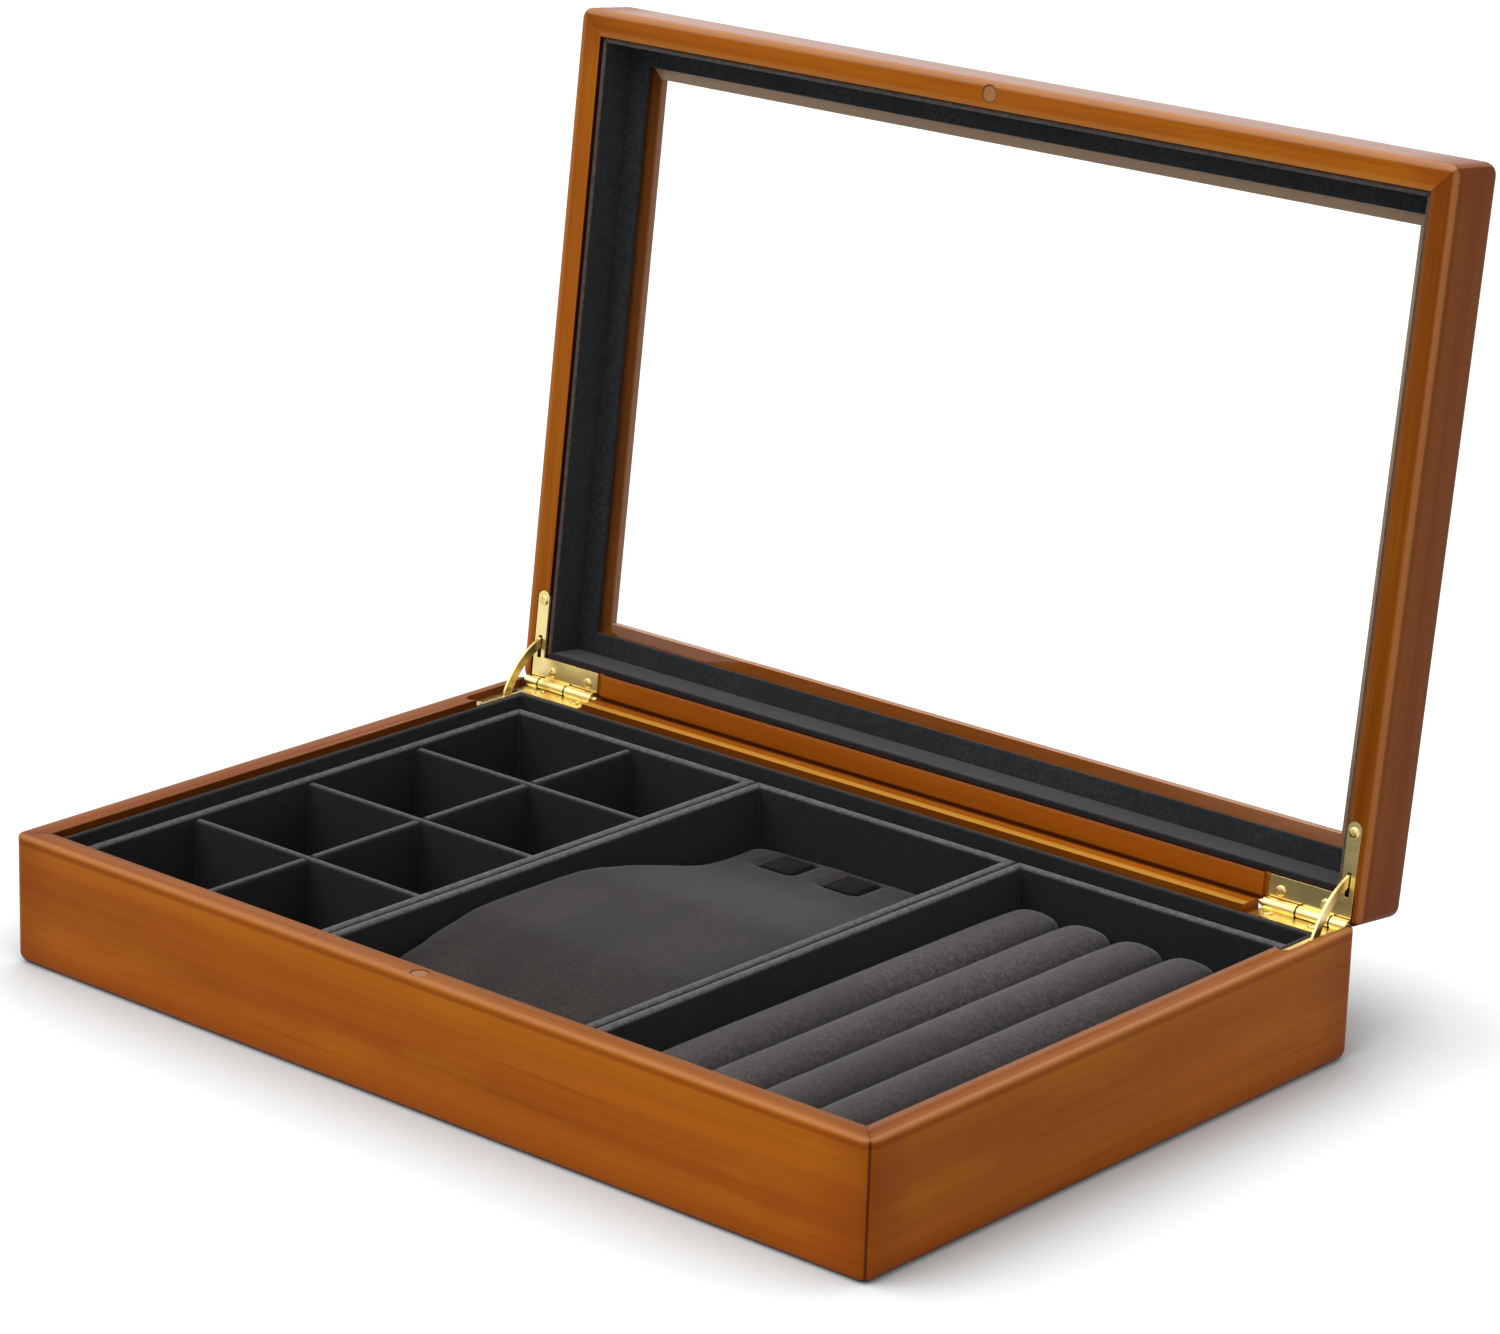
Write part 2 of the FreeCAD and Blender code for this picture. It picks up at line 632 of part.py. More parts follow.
lid_open_frame = cut(
    "lid_open_frame",
    lid_blank,
    block("lid_window", centred(WINDOW_X), centred(WINDOW_Y), (LID_Z, f"{LID_TOP} + overrun")),
    block("lid_rebate", centred(LID_X), centred(LID_Y), (f"{LID_Z} - overrun", LIP_Z)),
)
lid_frame = cut(
    "lid_frame",
    rounded("lid_eased_frame", lid_open_frame, window_edges),
    magnet("lid_magnet_bore", f"{LID_Z} - overrun", f"{LID_Z} + magnet_recess + magnet_depth"),
    lid_mortise,
    mirrored("lid_mortise_left", lid_mortise),
    lid_screws_right,
    lid_screws_left,
)
lid_pieces = list(
    mitred(
        "lid_{}_rail",
        lid_frame,
        HALF_X,
        HALF_Y,
        "0",
        "lid_wall + lip_width",
        (LID_Z, LID_TOP),
    ).values()
)
pane = block(
    "pane",
    centred(f"({LID_X} - glass_play)"),
    centred(f"({LID_Y} - glass_play)"),
    (GLASS_Z, LIP_Z),
)
lid_pieces.append(keep("glass_pane", group("pane_in_lid", pane)))


def retainer_edges(edge, box):
    """Round the window edge of the strips on the side that faces into the box."""
    at_bottom = all_at(edge, "Z", box.ZMin)
    clear = size("retainer_width") - NEAR
    inside = edge.BoundBox
    held = inside.XMin > box.XMin + clear - NEAR and inside.XMax < box.XMax - clear + NEAR
    return size("retainer_round") if at_bottom and held else None


retainer_ring = rounded(
    "retainer_ring",
    cut(
        "retainer_blank",
        block("retainer_box", centred(LID_X), centred(LID_Y), (RETAINER_Z, GLASS_Z)),
        block(
            "retainer_well",
            centred(f"({LID_X} - retainer_width)"),
            centred(f"({LID_Y} - retainer_width)"),
            (LID_Z, LID_TOP),
        ),
    ),
    retainer_edges,
)
lid_pieces += mitred(
    "glass_retainer_{}",
    retainer_ring,
    LID_X,
    LID_Y,
    "0",
    "retainer_width",
    (RETAINER_Z, GLASS_Z),
).values()

lid_board_ring = rounded(
    "lid_board_ring",
    cut(
        "lid_board_blank",
        block("lid_board_box", centred(LID_X), centred(LID_Y), (LID_BOARD_Z, RETAINER_Z)),
        block(
            "lid_board_well",
            centred(f"({LID_X} - lid_board)"),
            centred(f"({LID_Y} - lid_board)"),
            (LID_Z, LID_TOP),
        ),
    ),
    bottom_edges,
)
lid_pieces += mitred(
    "lid_lining_{}",
    lid_board_ring,
    LID_X,
    LID_Y,
    "0",
    "lid_board",
    (LID_BOARD_Z, RETAINER_Z),
).values()
lid_disc = magnet("lid_disc", f"{LID_Z} + magnet_recess", f"{LID_Z} + magnet_recess + magnet_depth")
lid_pieces.append(keep("lid_magnet", group("disc_in_lid", lid_disc)))
lid_pieces.append(keep("lid_hinge_leaf_right", lid_leaf_right))
lid_pieces.append(keep("lid_hinge_screws", group("lid_screw_set", lid_screws_right, lid_screws_left)))
for piece in lid_pieces:
    swing(piece, "-open_angle")
keep("lid_hinge_leaf_left", mirrored("lid_leaf_left", lid_leaf_right))

for name, side in (("right", 1), ("left", -1)):
    keep(f"stay_arm_{name}", swing(stay_arm(f"stay_{name}", side), "-open_angle / 2"))


# Trays: three equal trays, each a mitred ring of covered board round a floor.
def tray_edges(edge, box):
    """Round a tray's rim."""
    return size("tray_round") if all_at(edge, "Z", box.ZMax) else None


def tray(name, centre):
    """Make the floor and the four walls of one tray."""
    x = (f"{centre} - {TRAY_WIDTH} / 2", f"{centre} + {TRAY_WIDTH} / 2")
    well_x = (f"{centre} - {TRAY_IN_X}", f"{centre} + {TRAY_IN_X}")
    ring = rounded(
        f"{name}_ring",
        cut(
            f"{name}_blank",
            block(f"{name}_box", x, centred(TRAY_Y), (FLOOR_Z, TRAY_TOP)),
            block(f"{name}_well", well_x, centred(TRAY_IN_Y), ("0", "base_height")),
        ),
        tray_edges,
    )
    walls = f"{name}_tray_" + "{}"
    mitred(walls, ring, f"({TRAY_WIDTH} / 2)", TRAY_Y, centre, "tray_wall", (FLOOR_Z, TRAY_TOP))
    keep(f"{name}_tray_floor", block(f"{name}_floor", well_x, centred(TRAY_IN_Y), (FLOOR_Z, BED_Z)))


def divider_edges(edge, box):
    """Round the two long top edges of a divider."""
    along = max(edge.BoundBox.XLength, edge.BoundBox.YLength)
    long_edge = along > max(box.XLength, box.YLength) - NEAR
    return size("divider_round") if long_edge and all_at(edge, "Z", box.ZMax) else None


LEFT_TRAY = f"(-{TRAY_STEP})"
RIGHT_TRAY = TRAY_STEP
DIVIDER_TOP = f"({TRAY_TOP} - divider_drop)"
LAP_Z = f"(({BED_Z} + {DIVIDER_TOP}) / 2)"
ROW_STEP = f"((2 * {TRAY_IN_Y} + divider) / row_count)"

tray("compartment", LEFT_TRAY)
rows = int(size("row_count"))
column_x = (f"{LEFT_TRAY} - divider / 2", f"{LEFT_TRAY} + divider / 2")
lap_x = (f"{LEFT_TRAY} - divider / 2 - lap_play", f"{LEFT_TRAY} + divider / 2 + lap_play")
column = rounded(
    "column_round",
    block("column_board", column_x, centred(TRAY_IN_Y), (BED_Z, DIVIDER_TOP)),
    divider_edges,
)
laps = []
for row in range(1, rows):
    middle = f"({row} * {ROW_STEP} - {TRAY_IN_Y} - divider / 2)"
    row_y = (f"{middle} - divider / 2", f"{middle} + divider / 2")
    lap_y = (f"{middle} - divider / 2 - lap_play", f"{middle} + divider / 2 + lap_play")
    laps.append(block(f"column_lap_{row}", lap_x, lap_y, (LAP_Z, f"{DIVIDER_TOP} + overrun")))
    board_x = (f"{LEFT_TRAY} - {TRAY_IN_X}", f"{LEFT_TRAY} + {TRAY_IN_X}")
    board = rounded(
        f"row_round_{row}",
        block(f"row_board_{row}", board_x, row_y, (BED_Z, DIVIDER_TOP)),
        divider_edges,
    )
    notch = block(f"row_lap_{row}", lap_x, lap_y, ("0", LAP_Z))
    keep(f"row_divider_{row}", cut(f"row_notched_{row}", board, notch))
keep("column_divider", cut("column_notched", column, *laps))

# Bracelet pad: an arch from front to back on a level slab, whose back end holds two straps in slots.
tray("bracelet", "0")
PAD_Y = f"({TRAY_IN_Y} - soft_gap)"
PAD_X = f"({TRAY_IN_X} - soft_gap)"
PAD_TOP = f"({BED_Z} + pad_crest)"
SHELF_Z = f"({BED_Z} + pad_shelf)"


def crown_edges(reach):
    """Give a chooser that draws in every edge of a pad above its flat underside."""

    def choose(edge, box):
        """Leave out the underside's edges and the upright corners."""
        low = edge.BoundBox.ZMin < box.ZMin + NEAR
        return None if low else size(reach)

    return choose


def arc_edges(edge, box):
    """Draw in the two curved edges of the pad's arch."""
    return size("pad_draw") if edge.Curve.TypeId == "Part::GeomCircle" else None


pad_arch = rounded(
    "pad_arch",
    common(
        "pad_arch_blank",
        block("pad_arch_box", centred(PAD_X), centred(PAD_Y), (BED_Z, f"{PAD_TOP} + overrun")),
        rod(
            "pad_cylinder",
            "x",
            "pad_round",
            (f"-{PAD_X}", f"pad_middle - {PAD_Y}", f"{PAD_TOP} - pad_round"),
            f"2 * {PAD_X}",
        ),
    ),
    arc_edges,
    "Part::Chamfer",
)
pad_slab = rounded(
    "pad_slab",
    block("pad_slab_box", centred(PAD_X), centred(PAD_Y), (BED_Z, SHELF_Z)),
    crown_edges("pad_draw"),
    "Part::Chamfer",
)
STRAP_Y = f"({PAD_Y} - strap_inset)"
strap_y = (f"{STRAP_Y} - strap_width / 2", f"{STRAP_Y} + strap_width / 2")
slot_y = (f"{strap_y[0]} - slot_play", f"{strap_y[1]} + slot_play")
slots = []
straps = []
for side, middle in (("left", "-strap_left"), ("right", "strap_right")):
    for end, way in (("left", "-1"), ("right", "1")):
        slot = f"({middle} + {way} * (strap_span + slot_width) / 2)"
        slot_x = (f"{slot} - slot_width / 2", f"{slot} + slot_width / 2")
        slot_z = (f"{BED_Z} + slot_floor", f"{PAD_TOP} + overrun")
        slots.append(block(f"slot_{side}_{end}", slot_x, slot_y, slot_z))
    leg = "((strap_span + slot_width) / 2)"
    outside = f"({leg} + strap_thickness / 2)"
    inside = f"({leg} - strap_thickness / 2)"
    foot = f"({BED_Z} + slot_floor + strap_lift)"
    under = f"({SHELF_Z} + strap_lift)"
    outer = block(
        f"strap_outer_{side}",
        (f"{middle} - {outside}", f"{middle} + {outside}"),
        strap_y,
        (foot, f"{under} + strap_thickness"),
    )
    inner = block(
        f"strap_inner_{side}",
        (f"{middle} - {inside}", f"{middle} + {inside}"),
        (f"{strap_y[0]} - overrun", f"{strap_y[1]} + overrun"),
        ("0", under),
    )
    straps.append(cut(f"strap_{side}", outer, inner))
pad_solid = fuse("pad_solid", pad_arch, pad_slab)
keep("bracelet_pad", cut("pad", pad_solid, *slots))
keep("bracelet_straps", group("strap_pair", *straps))

# Ring rolls: long soft bars side by side, each with a low round crown.
tray("ring", RIGHT_TRAY)
rolls = int(size("roll_count"))
ROLL_WIDTH = f"((2 * ({TRAY_IN_X} - soft_gap) - (roll_count - 1) * roll_gap) / roll_count)"
ROLL_TOP = f"({BED_Z} + roll_height)"
for number in range(1, rolls + 1):
    place = f"({number} - (roll_count + 1) / 2) * ({ROLL_WIDTH} + roll_gap)"
    middle = f"({RIGHT_TRAY} + {place})"
    roll = common(
        f"roll_arch_{number}",
        block(
            f"roll_box_{number}",
            (f"{middle} - {ROLL_WIDTH} / 2", f"{middle} + {ROLL_WIDTH} / 2"),
            centred(PAD_Y),
            (BED_Z, f"{ROLL_TOP} + overrun"),
        ),
        rod(
            f"roll_crown_{number}",
            "y",
            "roll_crown",
            (middle, f"-{PAD_Y}", f"{ROLL_TOP} - roll_crown"),
            f"2 * {PAD_Y}",
        ),
    )
    drawn = rounded(f"roll_{number}", roll, crown_edges("roll_draw"), "Part::Chamfer")
    keep(f"ring_roll_{number}", drawn)

# Every object has to be sound before anything is written.
doc.recompute()
for item in doc.Objects:
    if "Invalid" in item.State or "Error" in item.State:
        raise RuntimeError(f"{item.Name} failed: {item.State}")
for item in parts:
    if item.Shape.isNull() or not item.Shape.isValid():
        raise RuntimeError(f"{item.Label} has no sound shape")
os.makedirs("parts", exist_ok=True)
for item in parts:
    item.Shape.exportStep(os.path.join("parts", item.Label + ".step"))
    box = item.Shape.BoundBox
    print(
        f"{item.Label}: {len(item.Shape.Solids)} solid, {item.Shape.Volume:.0f} mm3,"
        f" x {box.XMin:.2f} {box.XMax:.2f}, y {box.YMin:.2f} {box.YMax:.2f},"
        f" z {box.ZMin:.2f} {box.ZMax:.2f}"
    )
print(f"{len(parts)} pieces written")
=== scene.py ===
"""Finish of a wooden jewellery box with a glazed lid and three lift-out trays.

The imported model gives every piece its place. This script gives the wood, the suede, the padding, the
brass and the glass their look, sews and stuffs the soft pieces, and drives the hinge screws.
"""

import json
import logging
import math
from dataclasses import dataclass
from enum import Enum
from functools import reduce

import bmesh
import bpy
from bpy.types import Material, Mesh, Modifier, Node, NodeSocket, NodeTree, Object
from mathutils import Matrix, Vector

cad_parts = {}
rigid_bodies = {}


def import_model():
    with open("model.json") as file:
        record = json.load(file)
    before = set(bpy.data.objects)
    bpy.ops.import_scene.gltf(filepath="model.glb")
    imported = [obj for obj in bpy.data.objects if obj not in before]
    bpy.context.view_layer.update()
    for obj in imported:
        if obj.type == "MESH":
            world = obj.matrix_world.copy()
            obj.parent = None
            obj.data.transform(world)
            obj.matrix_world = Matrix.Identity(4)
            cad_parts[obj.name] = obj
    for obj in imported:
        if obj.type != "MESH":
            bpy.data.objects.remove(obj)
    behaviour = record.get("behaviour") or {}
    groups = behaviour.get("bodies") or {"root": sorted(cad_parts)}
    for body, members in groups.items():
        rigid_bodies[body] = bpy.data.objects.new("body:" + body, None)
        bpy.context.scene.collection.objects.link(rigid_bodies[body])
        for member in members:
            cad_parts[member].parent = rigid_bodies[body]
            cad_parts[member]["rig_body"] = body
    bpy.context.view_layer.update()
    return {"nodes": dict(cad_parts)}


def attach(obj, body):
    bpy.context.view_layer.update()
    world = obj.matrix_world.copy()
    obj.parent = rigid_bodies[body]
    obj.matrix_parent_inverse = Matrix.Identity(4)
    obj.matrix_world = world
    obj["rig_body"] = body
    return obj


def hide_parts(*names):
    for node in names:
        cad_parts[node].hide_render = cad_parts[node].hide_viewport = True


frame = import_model()

MM = 0.001
LOG = logging.getLogger("jewellery_box")

# The case from outside, the lid's hinge axis and how far the lid stands open, in metres and radians.
HALF_X = 175.0 * MM
HALF_Y = 117.5 * MM
HINGE = Vector((0.0, 117.6 * MM, 42.0 * MM))
OPEN_ANGLE = math.radians(96.0)
PARTING_Z = 43.05 * MM
# Where the knuckles of a hinge meet, from the middle of the box.
KNUCKLE_JOINTS = (153.0 * MM, 165.3 * MM)
# The floor that the soft pieces lie on, and the step from tray to tray.
BED_Z = 10.0 * MM
TRAY_STEP = 109.23 * MM
# Vertices closer than this are one, and faces within this angle are one face.
MERGE_REACH = 0.001 * MM
MERGE_ANGLE = math.radians(0.5)

Colour = tuple[float, float, float]
Point = tuple[float, float, float]
Link = NodeSocket | float

FLOAT = "NodeSocketFloat"
WHOLE = "NodeSocketInt"
COLOR = "NodeSocketColor"
VECTOR = "NodeSocketVector"
GEOMETRY = "NodeSocketGeometry"
OBJECT = "NodeSocketObject"
FINISH = "NodeSocketMaterial"
WHITE = (1.0, 1.0, 1.0, 1.0)
SIDES = ("front", "right", "back", "left")


def srgb(code: str) -> tuple[float, float, float, float]:
    """Turn a hex colour as a screen shows it into linear light with a full alpha."""
    parts = [int(code[i : i + 2], 16) / 255 for i in (0, 2, 4)]
    return (*(c / 12.92 if c <= 0.04045 else ((c + 0.055) / 1.055) ** 2.4 for c in parts), 1.0)


def tinted(record: object, *names: str) -> dict:
    """Read fields of a record as values of a group's inputs, with hex colours as linear light."""
    values = {name: getattr(record, name) for name in names}
    return {name: srgb(value) if isinstance(value, str) else value for name, value in values.items()}


def pick(sockets: list[NodeSocket], key: int | str) -> NodeSocket:
    """Find a socket by its number, or the one in use among those of a name."""
    return sockets[key] if isinstance(key, int) else next(s for s in sockets if s.name == key and s.enabled)


class Axis(Enum):
    """Direction that a board's grain runs in, as a turn in degrees."""

    ALONG_X = 0.0
    ALONG_Y = -90.0


class Lean(Enum):
    """Whether a piece stands as the base does or as the open lid does."""

    LEVEL = 0.0
    OPEN = OPEN_ANGLE


class NodeSketch:
    """A node tree that is filled by short calls."""

    def __init__(self, tree: NodeTree) -> None:
        """Hold the tree to fill."""
        self.tree = tree

    def feed(self, socket: NodeSocket, value: object) -> None:
        """Give an input its value, or the output that it follows.

        Args:
            socket: The input.
            value: The value or the output.
        """
        if isinstance(value, NodeSocket):
            self.tree.links.new(value, socket)
        else:
            socket.default_value = value

    def add(self, kind: str, inputs: dict | None = None, **settings: object) -> Node:
        """Add one node.

        Args:
            kind: The node's type name.
            inputs: Values or output sockets by input name or number.
            settings: Properties of the node.

        Returns:
            The new node.
        """
        node = self.tree.nodes.new(kind)
        for name, value in settings.items():
            setattr(node, name, value)
        for name, value in (inputs or {}).items():
            self.feed(pick(node.inputs, name), value)
        return node

    def result(
        self, kind: str, inputs: dict | None = None, output: int | str = 0, **settings: object
    ) -> NodeSocket:
        """Add one node and give one of its outputs, the first if none is named."""
        return pick(self.add(kind, inputs, **settings).outputs, output)

    def math(self, operation: str, first: Link, second: Link = 0.0) -> NodeSocket:
        """Work out one sum of two values and give its output."""
        return self.result("ShaderNodeMath", {0: first, 1: second}, operation=operation)

    def product(self, *factors: Link) -> NodeSocket:
        """Multiply values and give the output."""
        return reduce(lambda first, second: self.math("MULTIPLY", first, second), factors)

    def apart(self, first: Link, second: Link) -> NodeSocket:
        """Give how far apart two values are."""
        return self.math("ABSOLUTE", self.math("SUBTRACT", first, second))

    def ramp(self, value: Link, low: float, high: float, start: float = 0.0, end: float = 1.0) -> NodeSocket:
        """Ease a value from low..high to start..end, held at both ends, and give the output."""
        limits = {"Value": value, "From Min": low, "From Max": high, "To Min": start, "To Max": end}
        return self.result("ShaderNodeMapRange", limits, interpolation_type="SMOOTHSTEP")

    def mix(self, share: Link, first: object, second: object) -> NodeSocket:
        """Mix two colours by a share and give the output."""
        inputs = {"Factor": share, "A": first, "B": second}
        return self.result("ShaderNodeMix", inputs, "Result", data_type="RGBA")

    def noise(self, vector: Link, scale: float, detail: float = 2.0, rough: float = 0.5) -> NodeSocket:
        """Give the value of a noise texture."""
        inputs = {"Vector": vector, "Scale": scale, "Detail": detail, "Roughness": rough}
        return self.result("ShaderNodeTexNoise", inputs)

    def parts(self, vector: Link) -> list[NodeSocket]:
        """Give the three parts of a vector."""
        return list(self.add("ShaderNodeSeparateXYZ", {0: vector}).outputs)

    def length(self, vector: Link) -> NodeSocket:
        """Give the length of a vector."""
        return self.result("ShaderNodeVectorMath", {0: vector}, "Value", operation="LENGTH")

    def place(
        self, vector: Link, scale: Point = (1, 1, 1), turn: Point = (0, 0, 0), shift: Point = (0, 0, 0)
    ) -> NodeSocket:
        """Scale, turn and shift a place, in that order, and give the output."""
        inputs = {"Vector": vector, "Scale": scale, "Rotation": turn, "Location": shift}
        return self.result("ShaderNodeMapping", inputs)

    def face(self, vector: Link, scale: Point = (1, 1, 1), turn: Point = (0, 0, 0)) -> NodeSocket:
        """Scale and turn a direction, in that order, and give the output."""
        inputs = {"Vector": vector, "Scale": scale, "Rotation": turn}
        return self.result("ShaderNodeMapping", inputs, vector_type="VECTOR")

    def use(self, group: NodeTree, **inputs: object) -> Node:
        """Place a shader group and set its inputs by name, in small letters with _ for a space."""
        named = {name.replace("_", " ").capitalize(): value for name, value in inputs.items()}
        return self.add("ShaderNodeGroup", named, node_tree=group)


def new_group(
    name: str, inputs: dict, outputs: dict, kind: str = "ShaderNodeTree"
) -> tuple[NodeSketch, dict, dict]:
    """Start a node group.

    Args:
        name: The group's name.
        inputs: Names of the inputs by socket type.
        outputs: Names of the outputs by socket type.
        kind: The type of its tree.

    Returns:
        The sketch of the tree, its input sockets by name and its output sockets by name.
    """
    tree = bpy.data.node_groups.new(name, kind)
    for way, sockets in (("INPUT", inputs), ("OUTPUT", outputs)):
        for socket_type, labels in sockets.items():
            for label in labels:
                tree.interface.new_socket(label, in_out=way, socket_type=socket_type)
    sketch = NodeSketch(tree)
    entry = sketch.add("NodeGroupInput").outputs
    leave = sketch.add("NodeGroupOutput").inputs
    return sketch, {s.name: s for s in entry if s.name}, {s.name: s for s in leave if s.name}


def grain_group() -> NodeTree:
    """Make the wood group: figure, gold mottle and pores of a board that runs along its first coordinate.

    Returns:
        The group. It gives a colour, a roughness and a height.
    """
    sketch, given, out = new_group(
        "Board grain",
        {VECTOR: ("Place",), COLOR: ("Light", "Dark", "Gold", "Pore"), FLOAT: ("Figure", "Mottle", "Tone")},
        {COLOR: ("Color",), FLOAT: ("Roughness", "Height")},
    )
    ramp, product, mix = sketch.ramp, sketch.product, sketch.mix
    place = given["Place"]
    drift = sketch.noise(sketch.place(place, (3.5, 16.0, 16.0)), 1.0)
    sway = sketch.result("ShaderNodeCombineXYZ", {"Y": product(drift, 0.010), "Z": product(drift, 0.006)})
    bent = sketch.result("ShaderNodeVectorMath", {0: place, 1: sway}, operation="ADD")
    band = sketch.noise(sketch.place(bent, (1.8, 62.0, 62.0)), 1.0, 2.0, 0.45)
    streak = sketch.noise(sketch.place(bent, (6.5, 520.0, 520.0)), 1.0, 4.0, 0.62)
    blotch = sketch.noise(sketch.place(bent, (15.0, 52.0, 52.0)), 1.0, 3.0, 0.55)
    pore = sketch.noise(sketch.place(bent, (70.0, 3000.0, 3000.0)), 1.0, 2.0, 0.6)
    cloud = sketch.noise(sketch.place(place, (9.0, 18.0, 18.0)), 1.0)
    figured = mix(product(ramp(band, 0.34, 0.68), given["Figure"]), given["Light"], given["Dark"])
    golden = mix(product(ramp(blotch, 0.50, 0.72), given["Mottle"]), figured, given["Gold"])
    fine = mix(ramp(streak, 0.42, 0.74, 0.0, 0.42), golden, given["Dark"])
    holes = product(ramp(pore, 0.60, 0.80), ramp(streak, 0.35, 0.6, 0.08, 0.32))
    spotted = mix(holes, fine, given["Pore"])
    value = product(ramp(cloud, 0.3, 0.7, 0.95, 1.05), given["Tone"])
    sketch.feed(out["Color"], sketch.result("ShaderNodeHueSaturation", {"Value": value, "Color": spotted}))
    sketch.feed(out["Roughness"], ramp(streak, 0.3, 0.8, 0.36, 0.50))
    sketch.feed(out["Height"], sketch.math("SUBTRACT", product(streak, 0.3), holes))
    return sketch.tree


def case_group() -> NodeTree:
    """Make the staining and painted-light group: a mitred case darker towards its corners and foot, with a
    gold band below the parting and dark mitre lines, painted highlights on its rims, painted light and shade
    on its side faces and window frame, and painted shade under its rim, in its back seam, on its inner faces
    and along its underside edge.

    Returns:
        The group. It takes a place and a normal of the closed box, and gives a colour and a gloss.
    """
    # Rim, Edge, Side, Lip and Sill tints are painted light and shade; Corner also paints the shade line
    # under the rim, and Joint gives both the dark mitre lines and painted shade.
    tints = ("Color", "Corner", "Foot", "Rim", "Edge", "Gold", "Side", "Lip", "Sill", "Joint")
    shared = ("Rim", "Ease", "Edge", "Side", "Lip", "Sill", "Inner", "Joint", "Gloss")
    sketch, given, out = new_group(
        "Case stain",
        {VECTOR: ("Place", "Facing"), COLOR: tints, FLOAT: ("Edge from", *(f"{s} share" for s in shared))},
        {COLOR: ("Color",), FLOAT: ("Gloss",)},
    )
    ramp, product, apart, sum_of = sketch.ramp, sketch.product, sketch.apart, sketch.math
    place, facing = sketch.parts(given["Place"]), sketch.parts(given["Facing"])
    x, y, z = (sum_of("ABSOLUTE", socket) for socket in place)
    up = sum_of("ABSOLUTE", facing[2])
    flat = ramp(up, 0.55, 0.95)
    outwards = sum_of("ADD", product(facing[0], place[0]), product(facing[1], place[1]))
    inwards = ramp(outwards, -0.02, -0.08)
    outside = product(ramp(outwards, 0.05, 0.10), ramp(up, 0.5, 0.2))
    upright = product(ramp(up, 0.35, 0.05), ramp(outwards, 0.0, 0.05))
    to_side = sum_of("SUBTRACT", HALF_X, x)
    to_front = sum_of("SUBTRACT", HALF_Y, y)
    outer = sum_of("MINIMUM", to_side, to_front)
    past_edge = sum_of("SUBTRACT", outer, given["Edge from"])
    corner = ramp(sum_of("MAXIMUM", to_side, to_front), 24 * MM, 1 * MM)
    mitre = ramp(apart(to_side, to_front), 1.0 * MM, 0.2 * MM)
    from_parting = apart(z, PARTING_Z)
    at_parting = ramp(from_parting, 2 * MM, 1 * MM)
    # Painted shade: a line just under the rim's rounding. Painted rim highlights grow towards the right.
    line = ramp(apart(from_parting, 2.2 * MM), 1.2 * MM, 0.3 * MM)
    rightwards = ramp(place[0], -HALF_X, HALF_X, 0.45, 1.0)
    # Masks for painted shade: the back seam at the parting, the underside edge and the inner faces near the
    # parting.
    behind = product(ramp(place[1], HALF_Y - 1.9 * MM, HALF_Y - 1.1 * MM), flat, at_parting)
    under = ramp(z, 1.8 * MM, 0.5 * MM)
    within = product(inwards, ramp(from_parting, 6 * MM, 4 * MM), given["Inner share"])
    high = ramp(z, 50 * MM, 54 * MM)
    layers = (
        ("Foot", 0.5, ramp(z, 12 * MM, 1 * MM)),
        ("Gold", 0.3, ramp(from_parting, 12 * MM, 4 * MM), upright),
        ("Corner", 0.4, corner),
        # Painted light and shade on the outward side faces.
        ("Side", given["Side share"], outside),
        # Painted shade line under the rim.
        ("Corner", 0.5, line, upright),
        # Painted highlights on the flat rim tops and on the eased rim edges.
        ("Rim", given["Rim share"], ramp(outer, 5.5 * MM, 1.5 * MM), flat, at_parting, rightwards),
        ("Rim", given["Ease share"], ramp(outer, 2.6 * MM, 1.4 * MM), ramp(up, 0.12, 0.45), at_parting),
        # A painted highlight and reflection on the rim's inner strip.
        ("Edge", given["Edge share"], ramp(past_edge, -0.8 * MM, 0.8 * MM), flat, at_parting),
        # Painted daylight and shade on the window frame's lip and inner faces.
        ("Lip", given["Lip share"], high, ramp(outer, 9.2 * MM, 10 * MM), ramp(facing[2], -0.5, -0.9)),
        ("Sill", given["Sill share"], high, inwards),
        # Painted shade in the back seam, along the underside edge and on the inner faces.
        ("Joint", sum_of("MAXIMUM", product(sum_of("MAXIMUM", behind, under), 0.9), within)),
        # Dark mitre lines.
        ("Joint", given["Joint share"], mitre, ramp(up, 0.3, 0.9, 1.0, 0.3)),
    )
    colour = given["Color"]
    for tint, *factors in layers:
        colour = sketch.mix(product(*factors), colour, given[tint])
    sketch.feed(out["Color"], colour)
    dulled = sum_of("SUBTRACT", 1.0, product(corner, 0.7))
    sketch.feed(out["Gloss"], product(outside, dulled, given["Gloss share"]))
    return sketch.tree


